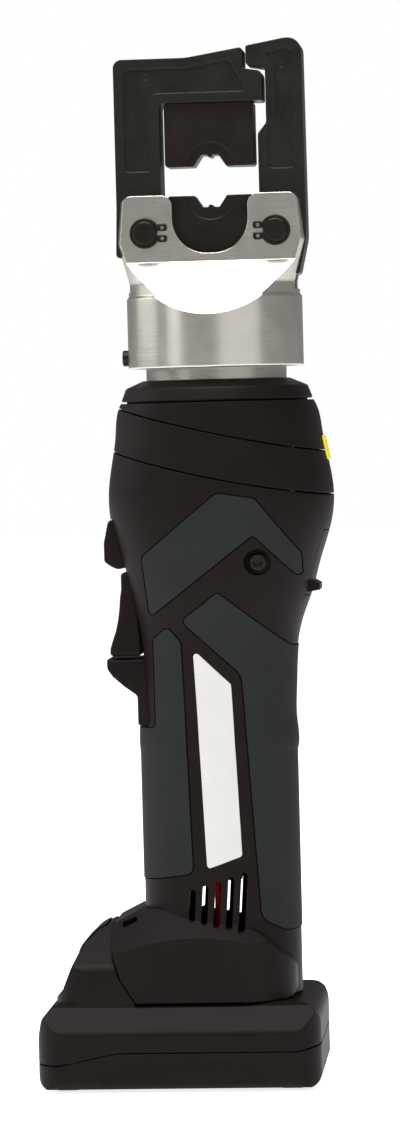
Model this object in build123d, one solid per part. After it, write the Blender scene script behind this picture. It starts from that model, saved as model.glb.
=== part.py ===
from build123d import *
import math
import os

# A battery hydraulic crimping tool, standing on its battery. Millimetres, +Z up.
# The origin is on the ground, midway between the battery's front and the housing's back.
# The trigger side is -X. Outlines are (u, z), where u = 0 is the tool's long axis.
# X sizes of the battery and of what meets it are measured from the battery's centre.
# Heights are measured from a line GROUND_Z under the ground,
# and every piece is lowered by it when it is saved.

os.makedirs("parts", exist_ok=True)

# Fits and gaps
RUN = 0.05  # radial clearance of a shaft or pin that turns or slides
SEAT = 0.02  # radial clearance of a pressed or screwed seat
AIR = 0.3  # gap between pieces that stay or pass close
SEAM = 0.6  # visible seam between two mouldings
MARGIN = 2.0  # how far a cutting shape runs past what it cuts
FAR = 60.0  # reach of a cut that goes right through the tool
ROOM, SKY = 90.0, 450.0  # half width and height of the space that the whole tool stands in
MERGE = 1.0  # how far a rib or boss stops under the housing's skin

# Tool axis behind the battery's centre, and the housing's stations: front and back reach, half width
AXIS_X = 18.0
GROUND_Z = 2.2
FOOT_Z = 34.6
GRIP_LOW_Z, GRIP_HIGH_Z = 66.0, 138.0
GRIP_FRONT, GRIP_BACK, GRIP_HALF = 32.0, 26.9, 24.4
WAIST_Z, WAIST_FRONT, WAIST_BACK, WAIST_HALF = 167.0, 32.8, 28.2, 26.6
TAPER_Z, TAPER_FRONT, TAPER_BACK, TAPER_HALF = 183.0, 35.2, 33.4, 30.4
LEVER_Z, LEVER_FRONT, LEVER_BACK, LEVER_HALF = 196.0, 37.7, 37.2, 33.8
BULGE_Z, BULGE_FRONT, BULGE_BACK, BULGE_HALF = 220.0, 41.9, 43.2, 37.0
CROWN_Z, CROWN_FRONT, CROWN_BACK, CROWN_HALF = 240.0, 39.6, 40.6, 37.0
NOSE_TOP_Z, NOSE_RADIUS = 257.5, 36.3
WALL = 3.0
RIB = 2.5
LOFT_SPANS = 10

# Slanted seams round the crown: height at SEAM_REACH in front, on the axis, and behind
SEAM_REACH = 50.0
UPPER_SEAM = (259.8, 246.2, 236.8)
LOWER_SEAM = (243.1, 229.4, 221.0)

# Collar round the neck
COLLAR_TOP_Z, COLLAR_SHOULDER_Z, COLLAR_SHOULDER_R = 265.9, 263.0, 34.3
COLLAR_RIM, COLLAR_SEAT_R, COLLAR_LOW_R = 0.9, 34.0, 36.1
COLLAR_RADII = (0, 0, 0, 0.5, 1.6, 0.4, 0)

# Foot that holds the battery
FOOT_TOE_X, FOOT_HEEL_X, FOOT_HALF = -25.0, 43.6, 31.0
FOOT_HEEL_RADIUS, FOOT_TOE_RADIUS = 20.0, 5.0
FOOT_TOP_Z, FOOT_CREST_U, FOOT_CREST_Z = 68.2, -10.0, 67.0
FOOT_ARCH, SHOULDER_SLOPE = (51.0, 58.7, 49.2), 36.0
HEEL_SIDE_Z, HEEL_TOP_Z, HEEL_SLOPE = 47.4, 60.0, 13.0
TOE_TOP_Z, TOE_SIDE_Z, TOE_MID_Z, TOE_TUCK, TOE_SLOPE = 62.6, 54.0, 43.0, 4.0, 9.5
FOOT_RADII = (0, 3, 8, 12, 20, 6, 0.5, 8, 12)
SLOT_HALF, SLOT_END_X, TOE_DOOR_U = 18.4, 38.0, -20.0
FLOOR = 2.8
STRAP_SLOT = (-36.4, 63.6)
STRAP_LENGTH, STRAP_WIDTH, STRAP_SLOPE = 6.0, 1.9, 24.0

# Soft pads and label set into the shells
PAD_DEPTH, PAD_PROUD, PAD_GAP, PAD_CORNER = 1.6, 0.35, 0.35, 1.4
PAD_BED = 0.1  # gap under a pad or the label
LABEL_DEPTH, LABEL_PROUD, LABEL_CORNER, LABEL_GAP = 0.5, 0.05, 1.2, 0.2
CHEVRON = (
    (-27.7, 200.4), (1.6, 223.8), (15.4, 221.6), (31.4, 200.9),
    (31.6, 190.6), (14.6, 208.2), (-25.6, 177.8),
)
CHEVRON_RADII = (3, 4, 4, 4, PAD_CORNER, PAD_CORNER, PAD_CORNER)
REAR_PAD = (
    (0.8, 187.0), (-13.4, 176.5), (8.4, 156.2), (13.6, 64.5),
    (22.0, 59.4), (50.0, 59.0), (50.0, 165.6), (26.5, 165.6),
)
REAR_RADII = (PAD_CORNER, 2, 8, 6, 3, 0, 0, 4)
FRONT_PAD = (
    (-19.0, 174.2), (-24.8, 169.4), (-24.8, 136.0), (-50.0, 135.0),
    (-50.0, 75.5), (-11.6, 82.0), (-14.0, 168.6),
)
FRONT_RADII = (2, 2, 2, 0, 0, 3, 3)
LABEL = ((-9.4, 166.0), (4.4, 152.5), (6.9, 88.2), (-6.2, 83.6))
MARKER_Z, MARKER_TALL, MARKER_HALF, MARKER_PROUD = 239.4, 9.0, 5.5, 0.9
SKIN_GAP = 0.05  # under a film or plate that lies on the housing

# Vent slots low on both sides of the grip
VENTS, VENT_PITCH, VENT_WIDTH, VENT_TILT = 5, 4.75, 2.4, 4.0
VENT_U, VENT_Z, VENT_LENGTH, VENT_GROWTH, VENT_RISE = -12.3, 69.8, 12.0, 2.6, 0.25

# Front opening with trigger, finger rest and lamp hood
OPENING_HALF, OPENING_LOW_Z, OPENING_HIGH_Z = 12.3, 136.4, 196.0
OPENING_DEPTH_U = -22.0
HOOD_HALF, HOOD_TOP_Z, HOOD_DEPTH_U = 10.0, 214.0, -34.0
HOOD_CHIN, HOOD_FRONT = (-38.4, 195.4), (-43.2, 198.2)
HOOD_SLOPE_LOW, HOOD_SLOPE_TOP = (-43.4, 205.3), (-41.6, 213.6)
HOOD_BROW_U, HOOD_RADII = -40.4, (0, 1.5, 2, 3, 1, 0.5, 0)
LENS_RADIUS, LENS_DEPTH, LENS_PROUD = 3.2, 2.0, 0.2
PIVOT_U, PIVOT_Z, PIVOT_RADIUS, PIVOT_REACH = -31.0, 190.5, 1.5, 14.4
TRIGGER_HALF, TRIGGER_WEB_U = 11.8, -30.0
TRIGGER = (
    (-36.6, 194.3), (-37.6, 188.0), (-37.7, 182.8), (-39.2, 173.0), (-42.0, 166.0), (-41.8, 164.3),
    (-31.6, 164.1), (TRIGGER_WEB_U, 170.0), (TRIGGER_WEB_U, 185.0), (-27.6, 188.0), (-27.6, 194.3),
)
TRIGGER_RADII = (1, 6, 12, 16, 1, 0.8, 1, 2, 2, 2, 2)
REST_HALF, REST_LOW_Z = 11.9, OPENING_LOW_Z + AIR
REST = (
    (-25.0, 160.6), (-31.5, 161.4), (-37.0, 160.4), (-42.4, 162.2), (-43.4, 161.4), (-43.0, 158.2),
    (-41.0, 154.9), (-32.4, 147.8), (-GRIP_FRONT, 145.0), (-GRIP_FRONT, REST_LOW_Z), (-25.0, REST_LOW_Z),
)
REST_RADII = (0, 4, 6, 0.5, 0.6, 2, 3, 3, 2, 0.5, 0)

# Retract lever at the back
LEVER_HALF_WIDTH, LEVER_LOW_Z, LEVER_HIGH_Z, LEVER_THICK = 10.0, 184.6, 208.6, 3.0
LEVER_PIN_U, LEVER_PIN_Z, LEVER_PIN_R, LEVER_PIN_REACH, LEVER_BARREL_R = 35.5, 205.8, 1.0, 12.2, 2.7
LEVER_WINDOW_U = 20.2
FIN_U, FIN_Z, FIN_TALL, FIN_DEEP, FIN_SIDE = 37.4, 187.3, 2.2, 5.0, 2.0
FIN_ROOT_LOW, FIN_ROOT_HIGH = 2.0, 4.0

# Screws
SIDE_SCREW_U, SIDE_SCREW_Z = 15.8, 198.0
SIDE_RECESS_R, SIDE_RECESS_V, SIDE_BOSS_R, SIDE_BOSS_V = 4.9, 27.6, 6.4, 25.6
SCREW_HEAD_R, SCREW_HEAD_TALL, SCREW_SHANK_R, SCREW_DRIVE = 3.1, 2.3, 1.9, 1.7
SIDE_SCREW_BITE = 8.0
SHELL_SCREWS = ((17.0, 69.5), (-25.0, 73.0), (35.2, 216.5), (-35.0, 51.8))
SHELL_BOSS_R, SHELL_HEAD_V, SHELL_BITE = 4.6, 9.0, 9.0

# Hydraulic cylinder, ram and pump
NECK_R, NECK_TOP_Z = 26.4, 291.0
BARREL_R, BARREL_LOW_R, BARREL_LOW_Z, BARREL_STEP_Z, BARREL_TOP_Z = 28.6, 26.0, 190.0, 204.0, 257.2
BORE_R, BORE_LOW_Z = 17.0, 206.0
PISTON_LOW_Z, PISTON_TALL, ROD_R, ROD_TOP_Z = 208.0, 14.0, 12.0, 306.0
SEAL_TALL, SEAL_DEPTH = 3.0, 2.4
GUIDE_LOW_Z, GUIDE_SUNK = 274.0, 0.5
SPRING_WIRE, SPRING_TURNS, SPRING_MEAN_R = 2.4, 7, 14.55
PUMP_R, PUMP_LOW_Z, PUMP_FLAT_U = 22.2, 164.0, -17.0
PUMP_WELL_R, PUMP_WELL_TOP_Z, PILOT_R, PILOT_TOP_Z = 9.2, 180.0, 3.5, 187.0
PLUNGER_R, PLUNGER_Z, PLUNGER_OUT_U, PLUNGER_GAP = 2.6, 173.0, 19.0, 0.1
OIL_WAY_R = 3.0
BLADDER_OUT, BLADDER_THICK, BLADDER_HALF_ANGLE = 35.6, 6.7, 38.0
BLADDER_LOW_Z, BLADDER_HIGH_Z = 216.0, 232.0
VALVE_R, VALVE_Z, VALVE_IN_U, VALVE_OUT_U, VALVE_BORE_U = 1.6, 186.5, 17.0, 29.0, 14.0

# Gear stage, from the motor's pinion to the eccentric
MODULE, SUN_TEETH, PLANET_TEETH, RING_TEETH, PLANETS = 0.65, 12, 18, 48, 3
ADDENDUM, DEDENDUM, BACKLASH, PRESSURE = 0.85, 1.15, 0.24, 20.0
CASE_R, CASE_LOW_Z, RING_TOP_Z, CASE_PLATE_Z = 20.0, 122.0, 140.0, 148.0
CASE_FLOOR, CASE_EYE_R = 3.0, 6.0
GEAR_LOW_Z, GEAR_TALL = 127.0, 10.0
PLANET_PIN_R, CARRIER_R, CARRIER_TALL, CARRIER_GAP, CARRIER_ROOM = 1.8, 14.0, 5.0, 1.2, 1.5
SHAFT_R, ECCENTRIC_R, ECCENTRICITY, BEARING_R = 5.0, 4.0, 0.8, 7.0
ECCENTRIC_LOW_Z, ECCENTRIC_TALL, LAND, UNDERCUT = 168.0, 10.0, 1.0, 0.5

# Motor
MOTOR_R, MOTOR_LOW_Z, CAN_WALL, CAN_LID = 18.3, 84.0, 1.4, 2.0
MAGNET_IN, MAGNET_LOW_Z, MAGNET_HIGH_Z, MAGNET_ANGLE = 12.2, 92.0, 116.0, 130.0
STACK_R, STACK_LOW_Z, STACK_HIGH_Z, STACK_SLOTS, STACK_SLOT, STACK_CORE_R = 11.6, 94.0, 114.0, 9, 2.2, 6.38
COMMUTATOR_R, COMMUTATOR_LOW_Z, COMMUTATOR_HIGH_Z = 5.0, 85.5, 92.0
MOTOR_SHAFT_R, MOTOR_SHAFT_LOW_Z, SHAFT_END_GAP = 2.0, 78.5, 0.5
CAP_TALL, CAP_BOSS_R, CAP_BOSS_TALL = 4.0, 5.0, 3.0

# Ribs across the housing: height, and radius of what they hold
RIBS = ((100.0, MOTOR_R), (116.0, MOTOR_R), (132.0, CASE_R), (158.0, CASE_R), (212.0, BARREL_R))

# Electrics
SWITCH_U, SWITCH_DEEP, SWITCH_LOW_Z, SWITCH_HIGH_Z, SWITCH_HALF = -26.0, 8.6, 168.0, 188.0, 9.0
PUSH_R, PUSH_Z, PUSH_IN, PUSH_SPARE = 2.2, 176.0, 2.6, 0.5
BOARD_U, BOARD_THICK, BOARD_HALF, BOARD_LOW_Z, BOARD_HIGH_Z = -24.0, 1.6, 9.0, 86.0, 146.0
CHIPS, CHIP_THICK = ((93.0, 9.0, 4.0), (125.0, 10.0, 5.0), (141.0, 6.0, 7.0)), 1.4
TERMINAL_LOW_Z, TERMINAL_HIGH_Z, TERMINAL_X0, TERMINAL_X1 = 47.2, 54.2, 2.0, 24.0
BLADE_V, BLADE_THICK, BLADE_LOW_Z, BLADE_X0, BLADE_X1, BLADE_TAB = 8.0, 0.8, 40.2, 7.0, 20.0, 3.0
WIRE_R, WIRE_BEND, WIRE_SPREAD, WIRE_LEAN = 1.1, 6.0, 4.0, 1.0
WIRE_FOOT, WIRE_HEAD = 8.0, 9.0

# Swivelling clevis
CLEVIS_LOW_Z, CLEVIS_R, CLEVIS_STEP_Z, CLEVIS_STEP_TOP_Z, CLEVIS_WAIST_R = 270.3, 33.0, 296.5, 297.5, 32.2
CLEVIS_WAIST_Z, CLEVIS_WIDE_R, CLEVIS_WIDE_Z, CLEVIS_TOP_R, CLEVIS_TOP_Z = 302.0, 36.2, 317.5, 34.8, 334.8
CLEVIS_RADII = (0, 0.8, 0.4, 0.4, 6, 6, 3, 0)
CHEEK_V, CHEEK_LOW_Z, SLOT_V, SLOT_FLOOR_Z = 13.0, 310.0, 8.8, 299.0
NOTCH_HALF, NOTCH_LOW_Z, NOTCH_RADIUS, NOTCH_LIP, NOTCH_WING = 14.2, 313.0, 13.0, 4.0, 9.0
WEB_Z = 291.5
PIN_U, PIN_Z, PIN_R, PIN_REACH, PIN_CHAMFER = 24.4, 320.8, 4.5, 15.2, 0.5
RING_IN, RING_OUT, RING_THICK, RING_GAP = 4.1, 5.65, 1.0, 1.6
LUG_OUT, LUG_LONG, LUG_WIDE, LUG_CORNER, LUG_SINK, LUG_HOLE_R = 6.5, 3.6, 2.8, 0.9, 0.2, 0.65
LOCK_Z, LOCK_R, LOCK_PROUD, LOCK_TIP_R, LOCK_SHOULDER = 274.6, 3.0, 2.2, 1.8, 3.0
GROOVE_DEPTH, GROOVE_TALL = 1.6, 4.4

# Jaws and dies
JAW_V, EYE_R, EYE_SIDE, EYE_RISE = 8.5, 7.5, 6.75, 3.0
JAW_OUT, JAW_IN, JAW_IN_Z, JAW_TOP_Z, BAR_LOW_Z = 35.3, 18.4, 334.0, 386.0, 369.4
JAW_FLARE, JAW_FLARE_Z, JAW_HEEL, BAR_BEND_U = 0.6, 330.8, 1.4, -8.0
JAW_RADII = (1.5, 20, 3.2, 30, 1.2, 1.2, 2.0, 0.8, 2.0, 4, 1, 0, 0)
HOOK_U, HOOK_TOP_Z, HOOK_LOW_Z, HOOK_DROP = 13.3, 389.4, 381.5, 1.2
TONGUE_U, HOOK_GAP = 20.4, 1.25
LATCH_PEAK_U, LATCH_PEAK_Z, LATCH_STEP_LOW_Z, LATCH_STEP_HIGH_Z = 29.0, 392.3, 357.0, 361.0
LATCH_LIFT, LATCH_FLARE, LATCH_FLARE_Z = 0.4, 0.4, 317.8
LATCH_TAIL_Z, LATCH_TAIL_OUT, LATCH_TAIL_IN, LATCH_ROOT = 304.3, 2.6, 6.6, 2.5
LATCH_RADII = (1.0, 8, 5, 20, 1.5, 1.5, 1, 0, 1, 4, 2, 2, 1.6, 1.0)
JAW_POCKET, JAW_BORDER, POCKET_LOW_Z = 0.9, 3.6, 344.0
POCKET_HOOK, POCKET_HOOK_DROP, POCKET_TONGUE = 5.0, 4.2, 6.0
POCKET_NOSE, POCKET_NOSE_DROP, POCKET_EASE = 0.4, 2.6, 1.0
JAW_POCKET_RADII, LATCH_POCKET_RADII = (1.5, 2.5, 30, 2, 1.5, 3, 1.5), (1, 2, 1.5, 1.5, 1.5, 2, 2, 2)
DIMPLE_R, DIMPLE_DEEP, JAW_DIMPLE, LATCH_DIMPLE = 0.9, 0.4, (-23.2, 379.1), (28.0, 382.3)
DIE_HALF, DIE_V, UPPER_DIE_Z, LOWER_DIE_HALF, LOWER_DIE_Z, DIE_CHAMFER = 16.8, 6.6, 345.5, 16.2, 334.7, 0.8
HEX_HALF, HEX_FLAT, HEX_DEEP, NIB_R, DIE_RELIEF_R, DIE_RELIEF = 6.15, 3.25, 4.3, 0.9, 9.0, 0.8
DOWEL_R, DOWEL_TALL = 3.0, 5.0

# Battery pack
PACK_HALF_X, PACK_HALF_Y, PACK_LOW_Z, PACK_TOP_Z, PACK_CORNER = 53.0, 37.5, 3.1, 34.2, 12.0
PACK_SIDE_Z, PACK_SHOULDER, PACK_CROWN, PACK_CROWN_DROP = 24.2, 7.0, 3.0, 1.0
PACK_BROW, PACK_BROW_LIP, PACK_BROW_DROP, PACK_CHIN_Z = 6.0, 1.8, 5.0, 21.2
PACK_SIDE_RADII, PACK_SECTION_RADII = (5, 4.6, 8, 4, 6, 20), (4, 4, 4, 2, 2, 2, 2, 4)
PACK_WALL = 2.2
PLAN_EASE = 0.1  # keeps the flat sides to the cross-section, clear of the plan
HUMP_HALF, HUMP_FRONT_X, HUMP_STEP_X = 30.4, -43.6, -46.8
HUMP_SIDE_Z, HUMP_TOP_Z, HUMP_CORNER, HUMP_ROOT, HUMP_OPEN = 47.6, 66.0, 14.0, 8.0, 11.0
HUMP_STEP_Z, HUMP_FRONT_Z, HUMP_DROP = 35.6, 39.2, 0.2
HUMP_SLOPE = ((-40.2, 47.2), (-36.8, 54.2), (-31.0, 59.8))
HUMP_RADII, HUMP_SECTION_RADII = (0, 2, 1.5, 20, 12, 10, 0.5, 8, 12, 0, 0), (0, 0, 6, 2, 2, 6)
PACK_SEAM_FRONT_Z, PACK_SEAM_Z, PACK_SEAM_RISE, PACK_SEAM_EASE = 12.4, 17.0, 9.0, 15.0
PACK_SEAM_X = (-45.0, -23.0, 45.0)
FOOT_PAD_X, FOOT_PAD_LONG, FOOT_PAD_HALF, FOOT_PAD_SUNK, FOOT_PAD_CORNER = 42.0, 10.0, 30.0, 1.0, 2.5
HEAD_X0, HEAD_X1, HEAD_HALF, HEAD_LOW_Z, HEAD_TOP_Z = -8.0, 36.6, 21.6, 37.8, 45.6
HEAD_GAP, HEAD_ROOF_GAP, BLADE_ROOM = 0.4, 0.5, 1.0
BUTTON_X0, BUTTON_X1, BUTTON_HALF, BUTTON_PROUD, BUTTON_DEEP = -39.0, -28.2, 9.5, 0.8, 2.2
BUTTON_LOW_Z, BUTTON_WINDOW_Z = 46.0, 40.0
CELLS, CELL_R, CELL_LONG, CELL_PITCH, CELL_Z = 5, 9.1, 65.0, 18.35, 14.8
STRAP_THICK, STRAP_TALL, STRAP_LAP = 0.3, 7.0, 5.46
PANEL = ((-29.0, 4.6), (-29.0, 9.6), (-4.0, 13.6), (24.0, 13.6), (33.0, 7.6), (33.0, 4.6))
PANEL_RADII, PANEL_DEEP = (1, 4, 8, 6, 3, 1), 0.5
BOARD_LONG, BOARD_WIDE = 60.0, 50.0

ORIGIN_X = (AXIS_X + BULGE_BACK - PACK_HALF_X) / 2
TOOL = Pos(AXIS_X - ORIGIN_X, 0, -GROUND_Z)
PACK = Pos(-ORIGIN_X, 0, -GROUND_Z)


def outline(points, radii=0.0):
    """Closed face in the XZ plane with rounded corners."""
    return Plane.XZ * make_face(FilletPolyline(*points, radius=radii, close=True))


def slab(points, half, radii=0.0):
    return extrude(outline(points, radii), half, both=True)


def block(x0, x1, y0, y1, z0, z1):
    middle = Pos((x0 + x1) / 2, (y0 + y1) / 2, (z0 + z1) / 2)
    return middle * Box(x1 - x0, y1 - y0, z1 - z0)


def layer(low, high):
    """Everything between two heights."""
    return block(-ROOM, ROOM, -ROOM, ROOM, low, high)


def disc(radius, low, high):
    return Pos(0, 0, (low + high) / 2) * Cylinder(radius, high - low)


def tube(outer, inner, low, high):
    return disc(outer, low, high) - disc(inner, low, high)


def cross_rod(radius, u, z, low, high):
    """Round bar along Y."""
    return Pos(u, (low + high) / 2, z) * Rot(90, 0, 0) * Cylinder(radius, high - low)


def long_rod(radius, v, z, low, high):
    """Round bar along X."""
    return Pos((low + high) / 2, v, z) * Rot(0, 90, 0) * Cylinder(radius, high - low)


def turned(points, radii=0.0):
    """Body of revolution about the tool's axis, from an (r, z) outline."""
    return revolve(outline(points, radii), Axis.Z)


def both_sides(shape):
    return [shape, mirror(shape, Plane.XZ)]


def save(name, shapes, place=TOOL):
    solids = [place * solid for shape in shapes for solid in shape.solids()]
    whole = solids[0] if len(solids) == 1 else Compound(children=solids)
    export_step(whole, f"parts/{name}.step")


def near(shape):
    return shape & block(-ROOM, ROOM, -ROOM, 0, 0, SKY)


def far(shape):
    return shape & block(-ROOM, ROOM, 0, ROOM, 0, SKY)


# Housing forms

STATIONS = (
    (GRIP_LOW_Z, GRIP_FRONT, GRIP_BACK, GRIP_HALF),
    (GRIP_HIGH_Z, GRIP_FRONT, GRIP_BACK, GRIP_HALF),
    (WAIST_Z, WAIST_FRONT, WAIST_BACK, WAIST_HALF),
    (TAPER_Z, TAPER_FRONT, TAPER_BACK, TAPER_HALF),
    (LEVER_Z, LEVER_FRONT, LEVER_BACK, LEVER_HALF),
    (BULGE_Z, BULGE_FRONT, BULGE_BACK, BULGE_HALF),
    (CROWN_Z, CROWN_FRONT, CROWN_BACK, CROWN_HALF),
    (NOSE_TOP_Z, NOSE_RADIUS, NOSE_RADIUS, NOSE_RADIUS),
)


def rise(i, column):
    """Change of a reach per mm of height between stations i and i + 1."""
    low, high = STATIONS[i], STATIONS[i + 1]
    return (high[column] - low[column]) / (high[0] - low[0])


def lean(i, column):
    """Lean of the outline at station i: none at a turn, else the mean of its two spans."""
    if i == len(STATIONS) - 1:
        return rise(i - 1, column)
    if i == 0 or rise(i - 1, column) * rise(i, column) <= 0:
        return 0.0
    return 2 / (1 / rise(i - 1, column) + 1 / rise(i, column))


def reach_at(z, column):
    """Front, back or half width of the housing at height z, on a smooth curve through the stations."""
    i = max(k for k in range(len(STATIONS) - 1) if k == 0 or STATIONS[k][0] <= z)
    low, high = STATIONS[i], STATIONS[i + 1]
    span = high[0] - low[0]
    t = (z - low[0]) / span
    ends = low[column] * (1 + 2 * t) * (1 - t) ** 2 + high[column] * t * t * (3 - 2 * t)
    return ends + span * t * (1 - t) * (lean(i, column) * (1 - t) - lean(i + 1, column) * t)


def ring_at(z, grow):
    front, back, half = (reach_at(z, column) for column in (1, 2, 3))
    return Pos((back - front) / 2, 0, z) * Ellipse((front + back) / 2 + grow, half + grow)


def body_form(grow):
    """The straight grip, and the waist, bulge and crown lofted above it, grown outwards by grow."""
    step = (NOSE_TOP_Z - GRIP_HIGH_Z) / LOFT_SPANS
    start = GRIP_HIGH_Z - step
    grip = extrude(ring_at(GRIP_LOW_Z, grow), start - GRIP_LOW_Z)
    grip = grip + extrude(ring_at(GRIP_LOW_Z, grow), FOOT_Z - GRIP_LOW_Z)
    return grip + loft([ring_at(start + step * i, grow) for i in range(LOFT_SPANS + 2)])


def foot_form(grow):
    """The foot: side outline and plan, under a shoulder that slopes up from an arched edge."""
    toe, heel = FOOT_TOE_X - AXIS_X, FOOT_HEEL_X - AXIS_X
    side = (
        (toe + TOE_SLOPE, FOOT_Z), (heel, FOOT_Z), (heel, HEEL_SIDE_Z), (heel - HEEL_SLOPE, HEEL_TOP_Z),
        (FOOT_CREST_U, FOOT_CREST_Z), (-GRIP_FRONT, FOOT_TOP_Z), (toe, TOE_TOP_Z), (toe, TOE_SIDE_Z),
        (toe + TOE_TUCK, TOE_MID_Z),
    )
    side_face = offset(outline(side, FOOT_RADII), grow)
    plan = ((toe, -FOOT_HALF), (heel, -FOOT_HALF), (heel, FOOT_HALF), (toe, FOOT_HALF))
    plan_radii = (FOOT_TOE_RADIUS, FOOT_HEEL_RADIUS, FOOT_HEEL_RADIUS, FOOT_TOE_RADIUS)
    plan_face = offset(make_face(FilletPolyline(*plan, radius=plan_radii, close=True)), grow)
    form = extrude(side_face, 2 * FOOT_HALF, both=True) & extrude(plan_face, 2 * FOOT_TOP_Z)
    slope = math.radians(SHOULDER_SLOPE)
    lift = grow / math.cos(slope) - FOOT_HALF * math.tan(slope)
    front, middle, back = (z + lift for z in FOOT_ARCH)
    ends = (toe - MARGIN, heel + MARGIN)
    arch = ThreePointArc((ends[0], front), (FOOT_CREST_U, middle), (ends[1], back))
    rest = Polyline((ends[1], back), (ends[1], -SEAM_REACH), (ends[0], -SEAM_REACH), (ends[0], front))
    under = Plane.XZ.offset(2 * FOOT_HALF) * make_face([arch, rest])
    wedge = extrude(under, 2.1 * FOOT_HALF / math.cos(slope), dir=(0, math.cos(slope), math.sin(slope)))
    return near(form & wedge) + far(form & mirror(wedge, Plane.XZ))


def below_seam(heights, shift):
    """Everything under a slanted seam, as a wide prism."""
    front, middle, back = (z + shift for z in heights)
    arc = ThreePointArc((-SEAM_REACH, front), (0, middle), (SEAM_REACH, back))
    rest = Polyline((SEAM_REACH, back), (SEAM_REACH, 0), (-SEAM_REACH, 0), (-SEAM_REACH, front))
    return extrude(Plane.XZ * make_face([arc, rest]), SEAM_REACH, both=True)


BODY = body_form(0)
FOOT = foot_form(0)
CAVITY = body_form(-WALL)
RECESS_FLOOR = body_form(-PAD_DEPTH)
PAD_SKIN = body_form(PAD_PROUD) - body_form(PAD_BED - PAD_DEPTH)
OUTSIDE = body_form(8)


def recess(points, radii, depth_form, gap):
    """Room for a pad: the outline grown by its gap, down to depth_form."""
    face = offset(outline(points, radii), gap)
    return (OUTSIDE & extrude(face, FAR, both=True)) - depth_form


def pad(points, radii, skin):
    return skin & slab(points, FAR, radii)


def vents():
    slots = []
    for i in range(VENTS):
        slot = SlotOverall(VENT_LENGTH + VENT_GROWTH * i, VENT_WIDTH, rotation=90)
        place = Pos(VENT_U + VENT_PITCH * i, 0, VENT_Z + VENT_RISE * i) * Rot(0, VENT_TILT, 0)
        slots.append(place * extrude(Plane.XZ * slot, SEAM_REACH, both=True))
    return slots


def front_openings():
    """Slot for trigger and finger rest, and the window behind the lamp hood."""
    slot = block(-FAR, OPENING_DEPTH_U, -OPENING_HALF, OPENING_HALF, OPENING_LOW_Z, OPENING_HIGH_Z)
    half = HOOD_HALF + AIR
    window = block(-FAR, HOOD_DEPTH_U, -half, half, OPENING_HIGH_Z - MARGIN, HOOD_TOP_Z + AIR)
    return [slot, window]


def lever_window():
    half = LEVER_HALF_WIDTH + AIR
    return block(LEVER_WINDOW_U, FAR, -half, half, LEVER_LOW_Z - AIR, LEVER_HIGH_Z + AIR)


def shells():
    wall = BODY + FOOT
    above_floor = layer(FOOT_Z + FLOOR, SKY)
    wall = wall - (CAVITY & above_floor) - (foot_form(-WALL) & above_floor)
    fill = body_form(-MERGE)
    for z, hole in RIBS:
        rib = (fill & layer(z, z + RIB)) - disc(hole + AIR / 3, z - MARGIN, z + RIB + MARGIN)
        wall = wall + rib
    for u, z in SHELL_SCREWS:
        reach = foot_form(-MERGE) if z < TOE_SIDE_Z else fill
        wall = wall + (cross_rod(SHELL_BOSS_R, u, z, -FAR, FAR) & reach)
    for side in (-1, 1):
        low, high = sorted((side * SIDE_BOSS_V, side * FAR))
        wall = wall + (cross_rod(SIDE_BOSS_R, SIDE_SCREW_U, SIDE_SCREW_Z, low, high) & fill)
        low, high = sorted((side * SIDE_RECESS_V, side * FAR))
        wall = wall - cross_rod(SIDE_RECESS_R, SIDE_SCREW_U, SIDE_SCREW_Z, low, high)
    cuts = [cross_rod(SCREW_SHANK_R + RUN, SIDE_SCREW_U, SIDE_SCREW_Z, -FAR, FAR)]
    for u, z in SHELL_SCREWS:
        cuts.append(cross_rod(SCREW_HEAD_R + AIR, u, z, SHELL_HEAD_V, FAR))
        cuts.append(cross_rod(SCREW_SHANK_R + RUN, u, z, -SHELL_BITE - MERGE, SHELL_HEAD_V))
    cuts += vents() + front_openings() + [lever_window()]
    cuts.append(recess(CHEVRON, CHEVRON_RADII, RECESS_FLOOR, PAD_GAP))
    cuts.append(recess(REAR_PAD, REAR_RADII, RECESS_FLOOR, PAD_GAP))
    cuts.append(recess(FRONT_PAD, FRONT_RADII, RECESS_FLOOR, PAD_GAP))
    cuts.append(near(recess(LABEL, LABEL_CORNER, body_form(-LABEL_DEPTH), LABEL_GAP)))
    board = (BOARD_U - AIR, BOARD_U + BOARD_THICK + AIR)
    half = BOARD_HALF + AIR
    cuts.append(block(*board, -half, half, BOARD_LOW_Z - MARGIN, BOARD_HIGH_Z + MARGIN))
    cuts.append(block(-FAR, SLOT_END_X - AXIS_X, -SLOT_HALF, SLOT_HALF, 0, FOOT_Z + FLOOR + MERGE))
    half = HEAD_HALF + HEAD_GAP
    cuts.append(block(-FAR, TOE_DOOR_U, -half, half, 0, HEAD_TOP_Z + HEAD_ROOF_GAP))
    strap = Pos(STRAP_SLOT[0], 0, STRAP_SLOT[1]) * Rot(0, -STRAP_SLOPE, 0)
    cuts.append(strap * extrude(Plane.XZ * SlotOverall(STRAP_LENGTH, STRAP_WIDTH), FAR, both=True))
    cuts.append(cross_rod(PIVOT_RADIUS + SEAT, PIVOT_U, PIVOT_Z, -PIVOT_REACH - AIR, PIVOT_REACH + AIR))
    reach = LEVER_PIN_REACH + AIR
    cuts.append(cross_rod(LEVER_PIN_R + SEAT, LEVER_PIN_U, LEVER_PIN_Z, -reach, reach))
    for cut in cuts:
        wall = wall - cut
    wall = wall & below_seam(LOWER_SEAM, -SEAM / 2)
    save("near_shell", [near(wall)])
    save("far_shell", [far(wall)])


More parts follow.
